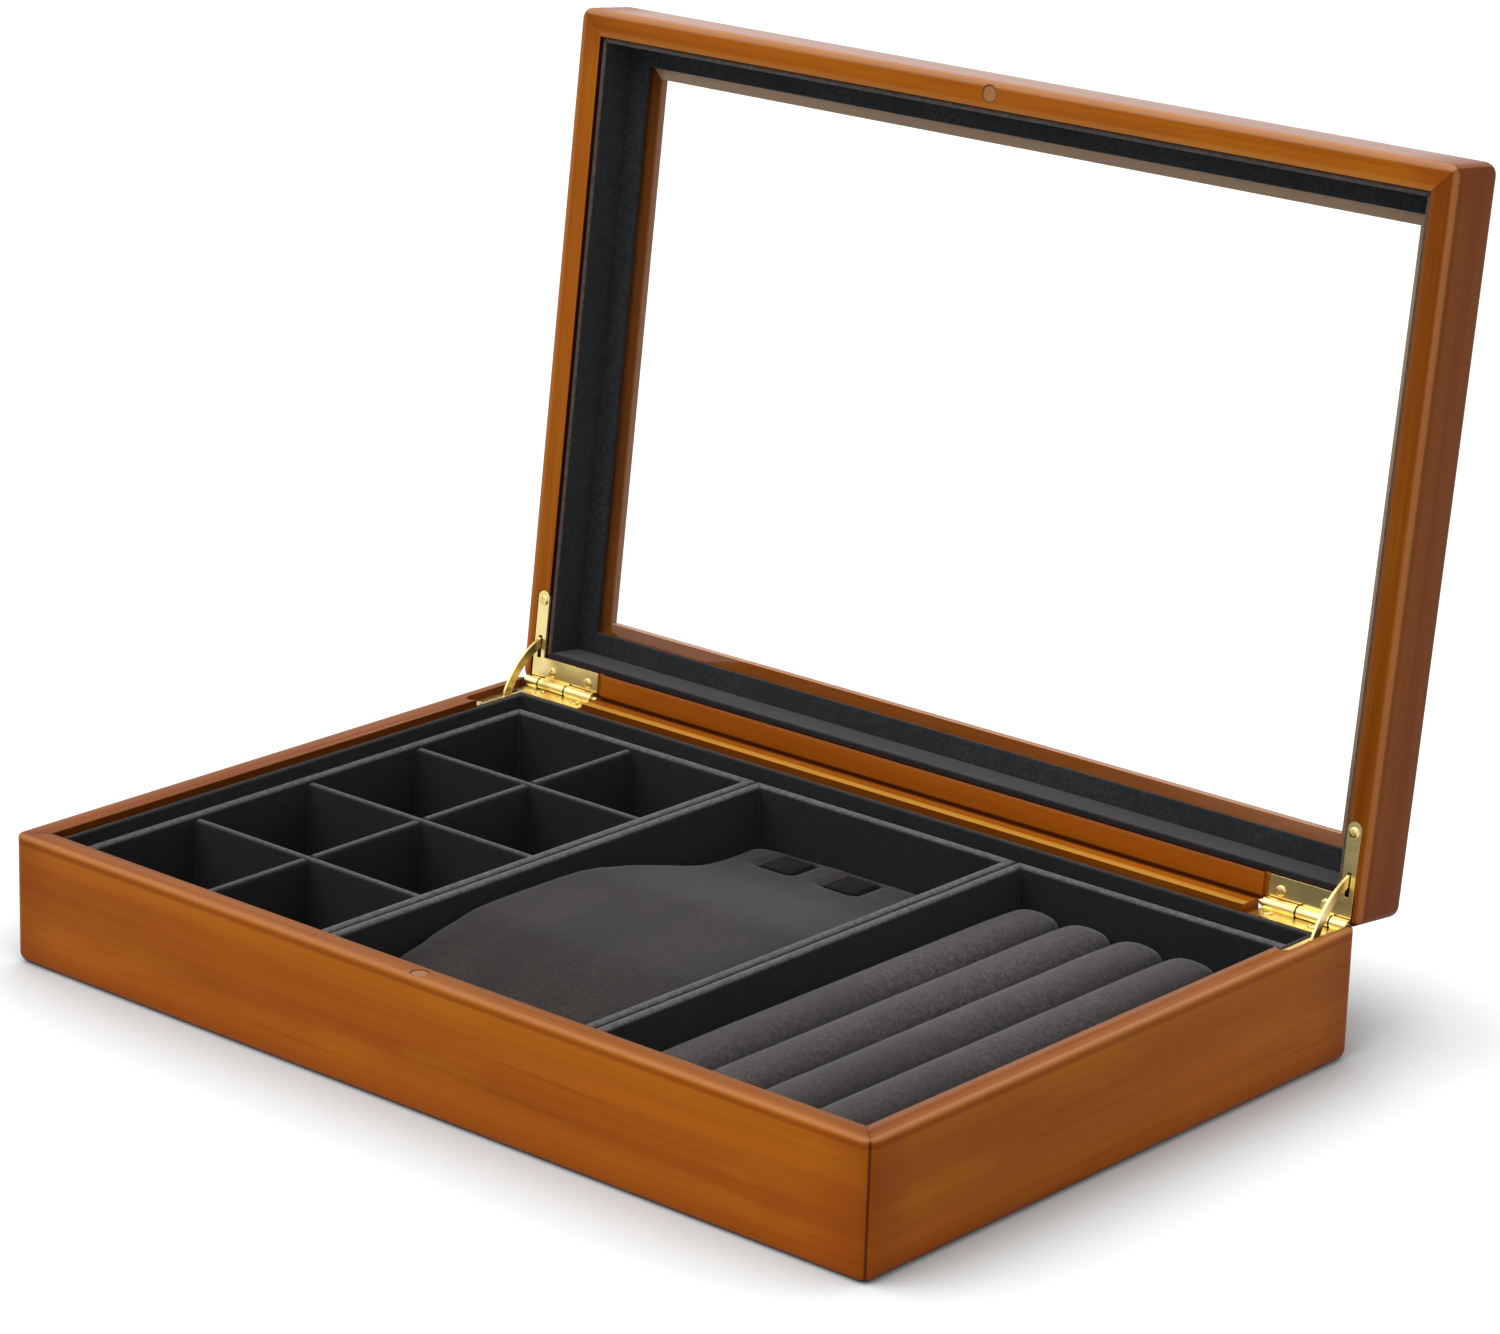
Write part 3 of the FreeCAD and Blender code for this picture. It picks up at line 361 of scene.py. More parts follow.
def nap_group() -> NodeTree:
    """Make the suede group: short nap that lies lighter and darker in patches, with painted edge shading
    along top edges that face up.

    Returns:
        The group. It gives a colour, a roughness and a height.
    """
    sketch, given, out = new_group(
        "Suede nap",
        {VECTOR: ("Place", "Facing"), COLOR: ("Face", "Brushed", "Rubbed"), FLOAT: ("Rub from", "Wrap")},
        {COLOR: ("Color",), FLOAT: ("Roughness", "Height")},
    )
    ramp, product = sketch.ramp, sketch.product
    place = given["Place"]
    hair = sketch.noise(place, 2400.0, 2.0, 0.7)
    tuft = sketch.noise(place, 620.0, 2.0, 0.6)
    brush = sketch.noise(sketch.place(place, (34.0, 12.0, 34.0)), 1.0, 3.0, 0.55)
    fleck = sketch.math("ADD", product(hair, 0.6), product(tuft, 0.4))
    lie = product(ramp(fleck, 0.38, 0.66), ramp(brush, 0.3, 0.72, 0.35, 1.0))
    napped = sketch.mix(lie, given["Face"], given["Brushed"])
    # Painted edge shading: high edges that face up take the edge colour, a painted highlight where that
    # colour is light and a painted shade line where it is dark.
    above = ramp(sketch.math("SUBTRACT", sketch.parts(place)[2], given["Rub from"]), 0.0, 1.2 * MM)
    worn = ramp(sketch.math("ADD", sketch.parts(given["Facing"])[2], given["Wrap"]), 0.30, 0.95)
    rubbed = product(above, worn, ramp(tuft, 0.3, 0.7, 0.55, 1.0))
    sketch.feed(out["Color"], sketch.mix(rubbed, napped, given["Rubbed"]))
    sketch.feed(out["Roughness"], ramp(tuft, 0.3, 0.7, 0.82, 1.0))
    sketch.feed(out["Height"], fleck)
    return sketch.tree


@dataclass(frozen=True)
class Shop:
    """The shader groups that the finishes share."""

    grain: NodeTree
    stain: NodeTree
    nap: NodeTree


class Paint:
    """A new material with its sketch, its shader and the coordinates of the piece."""

    def __init__(self, name: str, lean: Lean = Lean.LEVEL) -> None:
        """Start the material.

        Args:
            name: The material's name.
            lean: How the piece stands, so that place and facing are those of the closed box.
        """
        self.material = bpy.data.materials.new(name)
        self.material.use_nodes = True
        self.material.node_tree.nodes.clear()
        self.sketch = NodeSketch(self.material.node_tree)
        self.shader = self.sketch.add("ShaderNodeBsdfPrincipled")
        self.output = self.sketch.add("ShaderNodeOutputMaterial", {"Surface": self.shader.outputs[0]})
        coordinates = self.sketch.add("ShaderNodeTexCoord").outputs
        self.place, self.facing = coordinates["Object"], coordinates["Normal"]
        if lean is Lean.OPEN:
            turn = (OPEN_ANGLE, 0.0, 0.0)
            shift = HINGE - Matrix.Rotation(OPEN_ANGLE, 3, "X") @ HINGE
            self.place = self.sketch.place(self.place, turn=turn, shift=tuple(shift))
            self.facing = self.sketch.face(self.facing, turn=turn)

    def give(self, **inputs: object) -> None:
        """Give the shader's inputs values, or outputs that they follow, by name with _ for a space."""
        for name, value in inputs.items():
            self.sketch.feed(self.shader.inputs[name.replace("_", " ")], value)

    def bump(self, height: NodeSocket, distance: float, strength: float) -> None:
        """Raise the surface by a height."""
        inputs = {"Height": height, "Distance": distance, "Strength": strength}
        self.give(Normal=self.sketch.result("ShaderNodeBump", inputs))


@dataclass(frozen=True)
class BoardLook:
    """How one board differs from the others, and how strongly its staining, painted highlights and painted
    shade show on it.
    """

    tone: float = 1.0
    # Painted highlights on the flat rim tops (rim share) and on the eased rim edges (ease share).
    rim: str = "D0925E"
    rim_share: float = 0.0
    ease_share: float = 0.42
    # A painted highlight and reflection on the rim's inner strip.
    edge: str = "B88A60"
    edge_share: float = 0.0
    edge_from: float = 7.2 * MM
    # Painted light and shade on the outward side faces.
    side: str = "DC9660"
    side_share: float = 0.0
    # Painted daylight and shade on the window frame's lip and inner faces.
    lip: str = "6A4018"
    lip_share: float = 0.0
    sill: str = "8A5A30"
    sill_share: float = 0.0
    # Painted shade on the inner faces near the parting; the joint share is for the dark mitre lines.
    inner_share: float = 0.95
    joint_share: float = 0.75
    gloss_share: float = 0.0


# The inside of the window's frame where it catches the daylight.
PALE_FRAME = {"lip": "A89474", "lip_share": 0.6, "sill": "A89474", "sill_share": 0.5, "joint_share": 0.3}
# Rim, edge, side, lip and sill tints and the ease and inner shares are painted light and shade.
BOARD_LOOKS = {
    "base_front_wall": BoardLook(rim_share=0.28, edge="8C6C54", edge_share=0.35, edge_from=5.0 * MM),
    "base_right_wall": BoardLook(rim_share=0.30, edge="9C8474", edge_share=0.40, edge_from=6.4 * MM),
    "base_back_wall": BoardLook(
        ease_share=0.0, edge="D89C3E", edge_share=0.85, edge_from=5.4 * MM, inner_share=0.45
    ),
    "base_left_wall": BoardLook(0.82, rim="B08468", rim_share=0.35, ease_share=0.3, inner_share=0.5),
    "lid_front_rail": BoardLook(
        rim="ECB488", ease_share=0.5, edge="C08A48", edge_share=0.3, side="C47A34", side_share=0.12,
        gloss_share=0.85, **PALE_FRAME,
    ),
    "lid_right_rail": BoardLook(
        0.66, ease_share=0.32, edge="8A5A38", edge_share=0.35, edge_from=7.8 * MM,
        side="6A2C06", side_share=0.5, **PALE_FRAME,
    ),
    "lid_back_rail": BoardLook(
        0.93, ease_share=0.0, edge="B87448", edge_share=0.6, edge_from=8.3 * MM,
        lip="5A3010", lip_share=0.6, sill="DCB094", sill_share=0.55,
    ),
    "lid_left_rail": BoardLook(
        0.95, ease_share=0.3, lip="3A2410", lip_share=0.6, sill="74461E", sill_share=0.5, joint_share=0.3
    ),
}


@dataclass(frozen=True)
class WoodFinish:
    """Stained wood under satin lacquer."""

    light: str = "AE5E12"
    dark: str = "884106"
    gold: str = "B66E14"
    pore: str = "582A0A"
    # Darker towards the corners and the foot. The corner colour also paints the shade line under the rim,
    # and the joint colour gives the dark mitre lines and the painted shade in the back seam, on the inner
    # faces and along the underside edge.
    corner: str = "7A3008"
    foot: str = "8A3A02"
    joint: str = "2E0E04"
    figure: float = 0.50
    mottle: float = 0.42
    # Whether the board takes the case's staining with its painted light and shade.
    stained: bool = True
    pore_depth: float = 0.10 * MM

    def material(
        self, name: str, shop: Shop, axis: Axis, lean: Lean, seed: float, look: BoardLook
    ) -> Material:
        """Make the material of one board.

        Args:
            name: The material's name.
            shop: The shared groups.
            axis: The way the board runs.
            lean: How the board stands.
            seed: A shift along the log that gives the board its own figure, in metres.
            look: How the board differs from the others.

        Returns:
            The material.
        """
        paint = Paint(name, lean)
        sketch = paint.sketch
        stain_and_light_inputs = tinted(look, *vars(look)) | {"place": paint.place, "facing": paint.facing}
        turn = (0.0, 0.0, math.radians(axis.value))
        board = sketch.place(paint.place, turn=turn, shift=(seed, seed * 0.37, seed * 0.71))
        tints = tinted(self, "light", "dark", "gold", "pore", "figure", "mottle")
        grain = sketch.use(shop.grain, place=board, tone=stain_and_light_inputs.pop("tone"), **tints).outputs
        colour = grain["Color"]
        # The case's staining and mitre lines, with painted highlights and painted shade.
        if self.stained:
            stain_and_light_inputs |= tinted(self, "corner", "foot", "gold", "joint")
            stain = sketch.use(shop.stain, color=colour, **stain_and_light_inputs).outputs
            colour = stain["Color"]
            if look.gloss_share:
                paint.give(Coat_Weight=stain["Gloss"])
        paint.give(Base_Color=colour, Roughness=grain["Roughness"])
        paint.give(Specular_IOR_Level=0.05, Coat_Roughness=0.30)
        paint.bump(grain["Height"], self.pore_depth, 0.30)
        return paint.material


@dataclass(frozen=True)
class SuedeFinish:
    """Suede-effect fabric over board or foam."""

    face: str
    brushed: str
    rubbed: str
    rub_from: float = 1.0
    wrap: float = 0.0
    sheen: float = 0.25
    nap_depth: float = 0.08 * MM
    lean: Lean = Lean.LEVEL

    def material(self, name: str, shop: Shop) -> Material:
        """Make the material.

        Args:
            name: The material's name.
            shop: The shared groups.

        Returns:
            The material.
        """
        paint = Paint(name, self.lean)
        place, facing = paint.place, paint.facing
        if self.lean is Lean.OPEN:
            # The free edges of the lid's boards face down in the closed box, so that they are turned over.
            over = (1, 1, -1)
            place, facing = paint.sketch.place(place, over), paint.sketch.face(facing, over)
        tints = tinted(self, "face", "brushed", "rubbed", "rub_from", "wrap")
        nap = paint.sketch.use(shop.nap, place=place, facing=facing, **tints).outputs
        paint.give(Base_Color=nap["Color"], Roughness=nap["Roughness"])
        paint.give(Specular_IOR_Level=0.12, Sheen_Weight=self.sheen, Sheen_Roughness=0.45)
        paint.bump(nap["Height"], self.nap_depth, 0.5)
        return paint.material


@dataclass(frozen=True)
class MetalFinish:
    """Polished metal with faint handling marks, and with painted shade in the gaps where knuckles meet."""

    colour: str
    worn: str
    rough: float
    rougher: float
    # Painted shade for the gaps between knuckles.
    grime: str = "2A1E08"
    joints: tuple[float, ...] = ()
    gap: float = 0.5 * MM
    knuckle: float = 3.0 * MM
    mark_depth: float = 0.01 * MM

    def material(self, name: str) -> Material:
        """Make the material.

        Args:
            name: The material's name.

        Returns:
            The material.
        """
        paint = Paint(name)
        sketch = paint.sketch
        smear = sketch.noise(paint.place, 70.0, 2.0)
        scratch = sketch.noise(sketch.place(paint.place, (60.0, 600.0, 240.0)), 1.0)
        colour = sketch.mix(sketch.ramp(smear, 0.42, 0.7, 0.0, 0.45), srgb(self.colour), srgb(self.worn))
        beside = sketch.math("ABSOLUTE", sketch.parts(paint.place)[0])
        across = sketch.place(paint.place, (0, 1, 1), shift=(0.0, -HINGE.y, -HINGE.z))
        near = sketch.ramp(sketch.length(across), self.knuckle, self.knuckle - 0.4 * MM)
        # Painted shade in the gaps between knuckles, on the barrel only.
        for joint in self.joints:
            gap = sketch.ramp(sketch.apart(beside, joint), self.gap, self.gap / 2)
            colour = sketch.mix(sketch.product(gap, near, 0.9), colour, srgb(self.grime))
        rough = sketch.ramp(sketch.math("ADD", smear, scratch), 0.8, 1.3, self.rough, self.rougher)
        paint.give(Base_Color=colour, Roughness=rough, Metallic=1.0)
        paint.bump(scratch, self.mark_depth, 0.05)
        return paint.material


@dataclass(frozen=True)
class MagnetFinish:
    """A catch magnet that was lacquered over with the rim, so that only its ring shows."""

    face: str = "A8682E"
    ring: str = "683810"
    radius: float = 3.0 * MM
    inset: float = 4.3 * MM

    def material(self, name: str, lean: Lean) -> Material:
        """Make the material for the base's disc or the lid's.

        Args:
            name: The material's name.
            lean: How the disc stands.

        Returns:
            The material.
        """
        paint = Paint(name, lean)
        sketch = paint.sketch
        centred = sketch.place(paint.place, (1, 1, 0), shift=(0.0, HALF_Y - self.inset, 0.0))
        speck = sketch.noise(paint.place, 1500.0, 3.0)
        ring = sketch.ramp(sketch.length(centred), self.radius - 0.9 * MM, self.radius - 0.2 * MM)
        face = sketch.mix(sketch.ramp(speck, 0.45, 0.7, 0.0, 0.3), srgb(self.face), srgb(self.ring))
        rough = sketch.ramp(speck, 0.3, 0.7, 0.35, 0.5)
        paint.give(Base_Color=sketch.mix(ring, face, srgb(self.ring)), Roughness=rough)
        return paint.material


@dataclass(frozen=True)
class GlassFinish:
    """Clear float glass that lets daylight through to what is behind it."""

    tint: Colour = (0.985, 0.995, 0.99)
    ior: float = 1.45

    def material(self, name: str) -> Material:
        """Make the material.

        Args:
            name: The material's name.

        Returns:
            The material.
        """
        paint = Paint(name)
        sketch = paint.sketch
        smear = sketch.ramp(sketch.noise(paint.place, 30.0), 0.3, 0.7, 0.0, 0.02)
        paint.give(Base_Color=(*self.tint, 1.0), Roughness=smear, Transmission_Weight=1.0, IOR=self.ior)
        shadow = sketch.result("ShaderNodeLightPath", output="Is Shadow Ray")
        through = sketch.result("ShaderNodeBsdfTransparent")
        split = sketch.result("ShaderNodeMixShader", {0: shadow, 1: paint.shader.outputs[0], 2: through})
        sketch.feed(paint.output.inputs["Surface"], split)
        return paint.material


def put(name: str, data: object) -> Object:
    """Put a new object into the scene at the origin.

    Args:
        name: The object's name.
        data: Its mesh, lamp or camera.

    Returns:
        The object.
    """
    piece = bpy.data.objects.new(name, data)
    bpy.context.scene.collection.objects.link(piece)
    return piece


def show(name: str, mesh: Mesh, material: Material) -> Object:
    """Put a mesh with its one material into the scene.

    Args:
        name: The object's name.
        mesh: The mesh.
        material: Its material.

    Returns:
        The object.
    """
    mesh.materials.clear()
    mesh.materials.append(material)
    return put(name, mesh)


def set_aside(*pieces: Object) -> None:
    """Take helpers out of the scene again."""
    for piece in pieces:
        bpy.data.objects.remove(piece)


def hand_over(piece: Object, *nodes: str) -> Object:
    """Let a finished piece ride with the CAD nodes that it stands for.

    Args:
        piece: The piece.
        nodes: The nodes' names.

    Returns:
        The piece.
    """
    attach(piece, frame["nodes"][nodes[0]]["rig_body"])
    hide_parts(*nodes)
    LOG.info("%s stands for %s: %d faces", piece.name, ", ".join(nodes), len(piece.data.polygons))
    return piece


def modify(piece: Object, kind: str, **settings: object) -> Modifier:
    """Add a modifier to a piece.

    Args:
        piece: The piece.
        kind: The modifier's type.
        settings: Its properties.

    Returns:
        The modifier.
    """
    modifier = piece.modifiers.new(kind.capitalize(), kind)
    for name, value in settings.items():
        setattr(modifier, name, value)
    return modifier


def break_edges(piece: Object, width: float, angle: float, **settings: object) -> None:
    """Bevel the edges of a piece that turn by more than an angle in degrees."""
    limit = {"limit_method": "ANGLE", "angle_limit": math.radians(angle)}
    modify(piece, "BEVEL", width=width, segments=2, **limit, **settings)


def as_made(piece: Object) -> Mesh:
    """Work out a piece's modifiers and take them off.

    Args:
        piece: The piece.

    Returns:
        A plain mesh of the piece as it was with its modifiers.
    """
    bpy.context.view_layer.update()
    made = bpy.data.meshes.new_from_object(piece.evaluated_get(bpy.context.evaluated_depsgraph_get()))
    piece.modifiers.clear()
    return made


def soften(mesh: Mesh, angle: float) -> None:
    """Shade a mesh smooth but for the edges that turn by more than an angle in degrees."""
    mesh.shade_smooth()
    mesh.set_sharp_from_angle(angle=math.radians(angle))


def skin(node: str, material: Material, bevel: float) -> None:
    """Make a merged, smooth-shaded copy of a CAD node that stands for it.

    Args:
        node: The CAD node.
        material: The piece's material.
        bevel: Width of the bevel that breaks the sharp edges, in metres.
    """
    mesh = frame["nodes"][node].data.copy()
    work = bmesh.new()
    work.from_mesh(mesh)
    bmesh.ops.remove_doubles(work, verts=work.verts, dist=MERGE_REACH)
    bmesh.ops.dissolve_limit(
        work, angle_limit=MERGE_ANGLE, verts=work.verts, edges=work.edges, delimit={"NORMAL"}
    )
    work.to_mesh(mesh)
    work.free()
    mesh.name = f"{node}_skin"
    piece = show(mesh.name, mesh, material)
    soften(mesh, 30.0)
    break_edges(piece, bevel, 40.0, harden_normals=True)
    hand_over(piece, node)


def dress(node: str, material: Material) -> None:
    """Give a CAD node that stays its material.

    Args:
        node: The CAD node.
        material: Its material.
    """
    data = frame["nodes"][node].data
    data.materials.clear()
    data.materials.append(material)
    LOG.info("%s stays and is dressed", node)


def plain_mesh(work: bmesh.types.BMesh, name: str) -> Mesh:
    """Turn a work mesh into a plain one and free it.

    Args:
        work: The work mesh.
        name: The new mesh's name.

    Returns:
        The plain mesh.
    """
    mesh = bpy.data.meshes.new(name)
    work.to_mesh(mesh)
    work.free()
    return mesh


def block_mesh(name: str, blocks: list[tuple[Point, Point]]) -> Mesh:
    """Make one mesh of boxes.

    Args:
        name: The mesh's name.
        blocks: The lowest and the highest corner of each box.

    Returns:
        The mesh.
    """
    work = bmesh.new()
    for low, high in blocks:
        size = [top - bottom for bottom, top in zip(low, high)]
        middle = [(top + bottom) / 2 for bottom, top in zip(low, high)]
        matrix = Matrix.Translation(middle) @ Matrix.Diagonal((*size, 1.0))
        bmesh.ops.create_cube(work, size=1.0, matrix=matrix)
    return plain_mesh(work, name)


def carve(mesh: Mesh, cutter: Mesh) -> Mesh:
    """Take a cutter's shape out of a closed mesh.

    Args:
        mesh: The mesh to cut.
        cutter: The shape to take out.

    Returns:
        The mesh that is left.
    """
    blank, tool = put("blank", mesh), put("cutter", cutter)
    modify(blank, "BOOLEAN", operation="DIFFERENCE", solver="EXACT", object=tool)
    made = as_made(blank)
    set_aside(blank, tool)
    return made


def repeat_tree(name: str, inputs: dict) -> tuple[NodeSketch, dict, dict]:
    """Start a geometry tree that repeats a template on loose points.

    Args:
        name: The tree's name.
        inputs: Names of its own inputs by socket type.

    Returns:
        The sketch, the input sockets by name and the output sockets by name.
    """
    shared = {GEOMETRY: ("Geometry",), OBJECT: ("Template",), FINISH: ("Finish",)}
    return new_group(name, shared | inputs, {GEOMETRY: ("Geometry",)}, "GeometryNodeTree")


def repeated(sketch: NodeSketch, given: dict, **inputs: Link) -> NodeSocket:
    """Set the template on every point and make it real.

    Args:
        sketch: The sketch of the tree.
        given: The tree's input sockets by name.
        inputs: More inputs of the node that sets the template.

    Returns:
        The real geometry.
    """
    template = sketch.result("GeometryNodeObjectInfo", {"Object": given["Template"]}, "Geometry")
    points = {"Points": given["Geometry"], "Instance": template}
    placed = sketch.result("GeometryNodeInstanceOnPoints", points | inputs)
    return sketch.result("GeometryNodeRealizeInstances", {"Geometry": placed})


def put_out(sketch: NodeSketch, given: dict, out: dict, geometry: NodeSocket) -> NodeTree:
    """Give the geometry of a tree its finish and put it out.

    Args:
        sketch: The sketch of the tree.
        given: The tree's input sockets by name.
        out: Its output sockets by name.
        geometry: The real geometry.

    Returns:
        The tree.
    """
    finish = {"Geometry": geometry, "Material": given["Finish"]}
    sketch.feed(out["Geometry"], sketch.result("GeometryNodeSetMaterial", finish))
    return sketch.tree


def grow(name: str, seats: list[Point], tree: NodeTree, values: dict) -> Mesh:
    """Run a tree on loose points.

    Args:
        name: The new mesh's name.
        seats: The points.
        tree: The geometry tree.
        values: Its inputs by name.

    Returns:
        The plain mesh that the tree makes.
    """
    mesh = bpy.data.meshes.new(name)
    mesh.from_pydata(seats, [], [])
    carrier = put(f"{name}_seats", mesh)
    modifier = modify(carrier, "NODES", node_group=tree)
    for item in tree.interface.items_tree:
        if item.in_out == "INPUT" and item.name in values:
            modifier[item.identifier] = values[item.name]
    made = as_made(carrier)
    set_aside(carrier)
    made.name = name
    return made


@dataclass(frozen=True)
class Pillow:
    """A soft block with a shaped top, rounded where the fabric is drawn over its edges."""

    half_x: float
    half_y: float
    base_z: float
    edge_round: float
    end_round: float
    columns: int
    rows: int

    def height(self, x: float, y: float) -> float:
        """Give the height of the top, before its edges are rounded."""
        raise NotImplementedError

    def drop(self, inside: float, reach: float) -> float:
        """Give how far the top falls at a distance from an edge that is rounded over a reach."""
        share = min(max(1.0 - inside / reach, 0.0), 1.0)
        return reach * (1.0 - math.sqrt(1.0 - share * share))

    def corner(self, column: int, row: int, top: bool) -> Point:
        """Place one corner of the grid of the top or of the underside.

        Args:
            column: Its number across.
            row: Its number along.
            top: Whether it is on the top.

        Returns:
            The place.
        """
        x = self.half_x * math.sin(math.pi * (column / self.columns - 0.5))
        y = self.half_y * math.sin(math.pi * (row / self.rows - 0.5))
        if not top:
            return x, y, self.base_z
        edge = self.drop(self.half_x - abs(x), self.edge_round)
        end = self.drop(self.half_y - abs(y), self.end_round)
        return x, y, self.height(x, y) - min(math.hypot(edge, end), max(self.edge_round, self.end_round))

    def mesh(self, name: str) -> Mesh:
        """Make the closed shape: a shaped top, upright sides and a flat underside.

        Args:
            name: The mesh's name.

        Returns:
            The mesh.
        """
        work = bmesh.new()
        grids = []
        for top in (False, True):
            lines = [[self.corner(c, r, top) for c in range(self.columns + 1)] for r in range(self.rows + 1)]
            grids.append([[work.verts.new(place) for place in line] for line in lines])
        under, over = grids
        columns, rows = range(self.columns), range(self.rows)
        for row in rows:
            for column in columns:
                for grid, turn in ((over, 1), (under, -1)):
                    near, far = grid[row], grid[row + 1]
                    ring = [near[column], near[column + 1], far[column + 1], far[column]]
                    work.faces.new(ring[::turn])
        rim = [(0, c) for c in columns] + [(r, self.columns) for r in rows]
        rim += [(self.rows, c + 1) for c in reversed(columns)] + [(r + 1, 0) for r in reversed(rows)]
        for (r1, c1), (r2, c2) in zip(rim, rim[1:] + rim[:1]):
            work.faces.new((under[r1][c1], under[r2][c2], over[r2][c2], over[r1][c1]))
        bmesh.ops.recalc_face_normals(work, faces=work.faces)
        return plain_mesh(work, name)


@dataclass(frozen=True)
class PadShape(Pillow):
    """The bracelet pad: an arch from front to back on a level slab."""

    crest: float = 21.2 * MM
    shelf: float = 6.9 * MM
    arch: float = 202.0 * MM
    crest_y: float = -15.0 * MM
    blend: float = 8.0 * MM

    def height(self, x: float, y: float) -> float:
        """Give the arch, blended into the slab."""
        gap = self.crest - self.arch + math.sqrt(self.arch**2 - (y - self.crest_y) ** 2) - self.shelf
        return self.base_z + self.shelf + (gap + math.sqrt(gap * gap + self.blend**2)) / 2


@dataclass(frozen=True)
class RollShape(Pillow):
    """One ring roll: a long bar with a round crown."""

    crest: float = 16.6 * MM
    crown: float = 19.0 * MM
    tail: float = 30.0 * MM
    fall: float = 0.8 * MM

    def height(self, x: float, y: float) -> float:
        """Give the crown, which falls a little towards both ends."""
        fallen = self.fall * (max(abs(y) - (self.half_y - self.tail), 0.0) / self.tail) ** 2
        return self.base_z + self.crest - self.crown + math.sqrt(self.crown**2 - x * x) - fallen


@dataclass(frozen=True)
class Stuffing:
    """How a sewn fabric cover is blown up over its foam, and the space that it may fill."""

    voxel: float
    cap: float
    half_x: float
    half_y: float
    top: float
    smoothing: int = 6
    pressure: float = 4.0
    frames: int = 20

    def fill(self, name: str, pillow: Pillow) -> Mesh:
        """Remesh a soft block, blow it up as cloth and smooth it.

        Args:
            name: The cover's name.
            pillow: The block before it is filled.

        Returns:
            The filled mesh, with one subdivision.
        """
        cover = put(name, pillow.mesh(name))
        modify(cover, "REMESH", mode="VOXEL", voxel_size=self.voxel)
        cover.data = as_made(cover)
        self.blow_up(cover)
        low, high = (-self.half_x, -self.half_y, BED_Z), (self.half_x, self.half_y, self.top)
        for vertex in cover.data.vertices:
            for axis in range(3):
                vertex.co[axis] = min(max(vertex.co[axis], low[axis]), high[axis])
        modify(cover, "SMOOTH", factor=0.5, iterations=self.smoothing)
        modify(cover, "SUBSURF", levels=1, render_levels=1)
        filled = as_made(cover)
        set_aside(cover)
        filled.shade_smooth()
        return filled

    def blow_up(self, cover: Object) -> None:
        """Run the cloth on an evenly meshed cover and move its vertices, none further than the cap.

        Args:
            cover: The cover.
        """
        cloth = modify(cover, "CLOTH")
        cloth.settings.quality = 5
        cloth.settings.use_pressure = True
        cloth.settings.uniform_pressure_force = self.pressure
        cloth.settings.effector_weights.gravity = 0.0
        cloth.point_cache.frame_start = 1
        cloth.point_cache.frame_end = self.frames
        for step in range(1, self.frames + 1):
            bpy.context.scene.frame_set(step)
        puffed = as_made(cover)
        bpy.context.scene.frame_set(1)
        for vertex, end in zip(cover.data.vertices, puffed.vertices):
            move = end.co - vertex.co
            if move.length > self.cap:
                move.length = self.cap
            vertex.co = vertex.co + move
        bpy.data.meshes.remove(puffed)


class Suede(Enum):
    """The fabrics of the box."""

    # The third colour is the painted edge shading of top edges: a painted highlight on most boards and
    # dividers, a painted shade line on the lid's shelf; the pad, rolls and strap have none.
    BOARD = SuedeFinish("141516", "272828", "706F6F", 35.0 * MM)
    DIVIDER = SuedeFinish("121314", "222324", "7A7A7B", 34.6 * MM, wrap=0.8)
    LINING = SuedeFinish("151617", "2A2C2C", "3C3734", 35.0 * MM)
    LID_BOARD = SuedeFinish("1C1E20", "37373A", "66564E", -46.0 * MM, lean=Lean.OPEN)
    LID_SHELF = SuedeFinish("211F21", "423F43", "1A1310", -45.3 * MM, lean=Lean.OPEN)
    RETAINER = SuedeFinish("202224", "3E4042", "3E4042", -46.0 * MM, lean=Lean.OPEN)
    PAD = SuedeFinish("292624", "4C4744", "4C4744", sheen=0.2, nap_depth=0.16 * MM)
    ROLLS = SuedeFinish("3F3B3A", "6A6564", "6A6564", sheen=0.3, nap_depth=0.16 * MM)
    STRAP = SuedeFinish("08080A", "121213", "121213", sheen=0.1)


@dataclass
class Finishes:
    """Every finish of the box, with the boards' materials made as they are asked for."""

    shop: Shop
    suede: dict[Suede, Material]
    brass: Material
    glass: Material
    underside: Material
    log_step: float = 0.613
    boards_cut: int = 0

    @classmethod
    def mixed(cls) -> "Finishes":
        """Make the shared groups and the materials.

        Returns:
            The finishes.
        """
        shop = Shop(grain_group(), case_group(), nap_group())
        plywood = WoodFinish("6E4726", "563419", "7A5330", "38210F", stained=False)
        return cls(
            shop,
            {kind: kind.value.material(f"suede_{kind.name.lower()}", shop) for kind in Suede},
            MetalFinish("EAD593", "D0B266", 0.26, 0.32, joints=KNUCKLE_JOINTS).material("brass"),
            GlassFinish().material("glass"),
            plywood.material("bottom_board", shop, Axis.ALONG_X, Lean.LEVEL, 3.1, BoardLook()),
        )

    def next_board(self, node: str, side: str, lean: Lean) -> Material:
        """Cut the next board from the log.

        Args:
            node: The board's CAD node.
            side: The side of the box that it is on.
            lean: How it stands.

        Returns:
            Its material.
        """
        self.boards_cut += 1
        axis = Axis.ALONG_X if side in ("front", "back") else Axis.ALONG_Y
        seed = self.log_step * self.boards_cut
        return WoodFinish().material(f"wood_{node}", self.shop, axis, lean, seed, BOARD_LOOKS[node])


@dataclass(frozen=True)
class LinedFrame:
    """Four mitred boards of wood, lined with suede."""

    wood_bevel: float = 0.15 * MM
    suede_bevel: float = 0.30 * MM


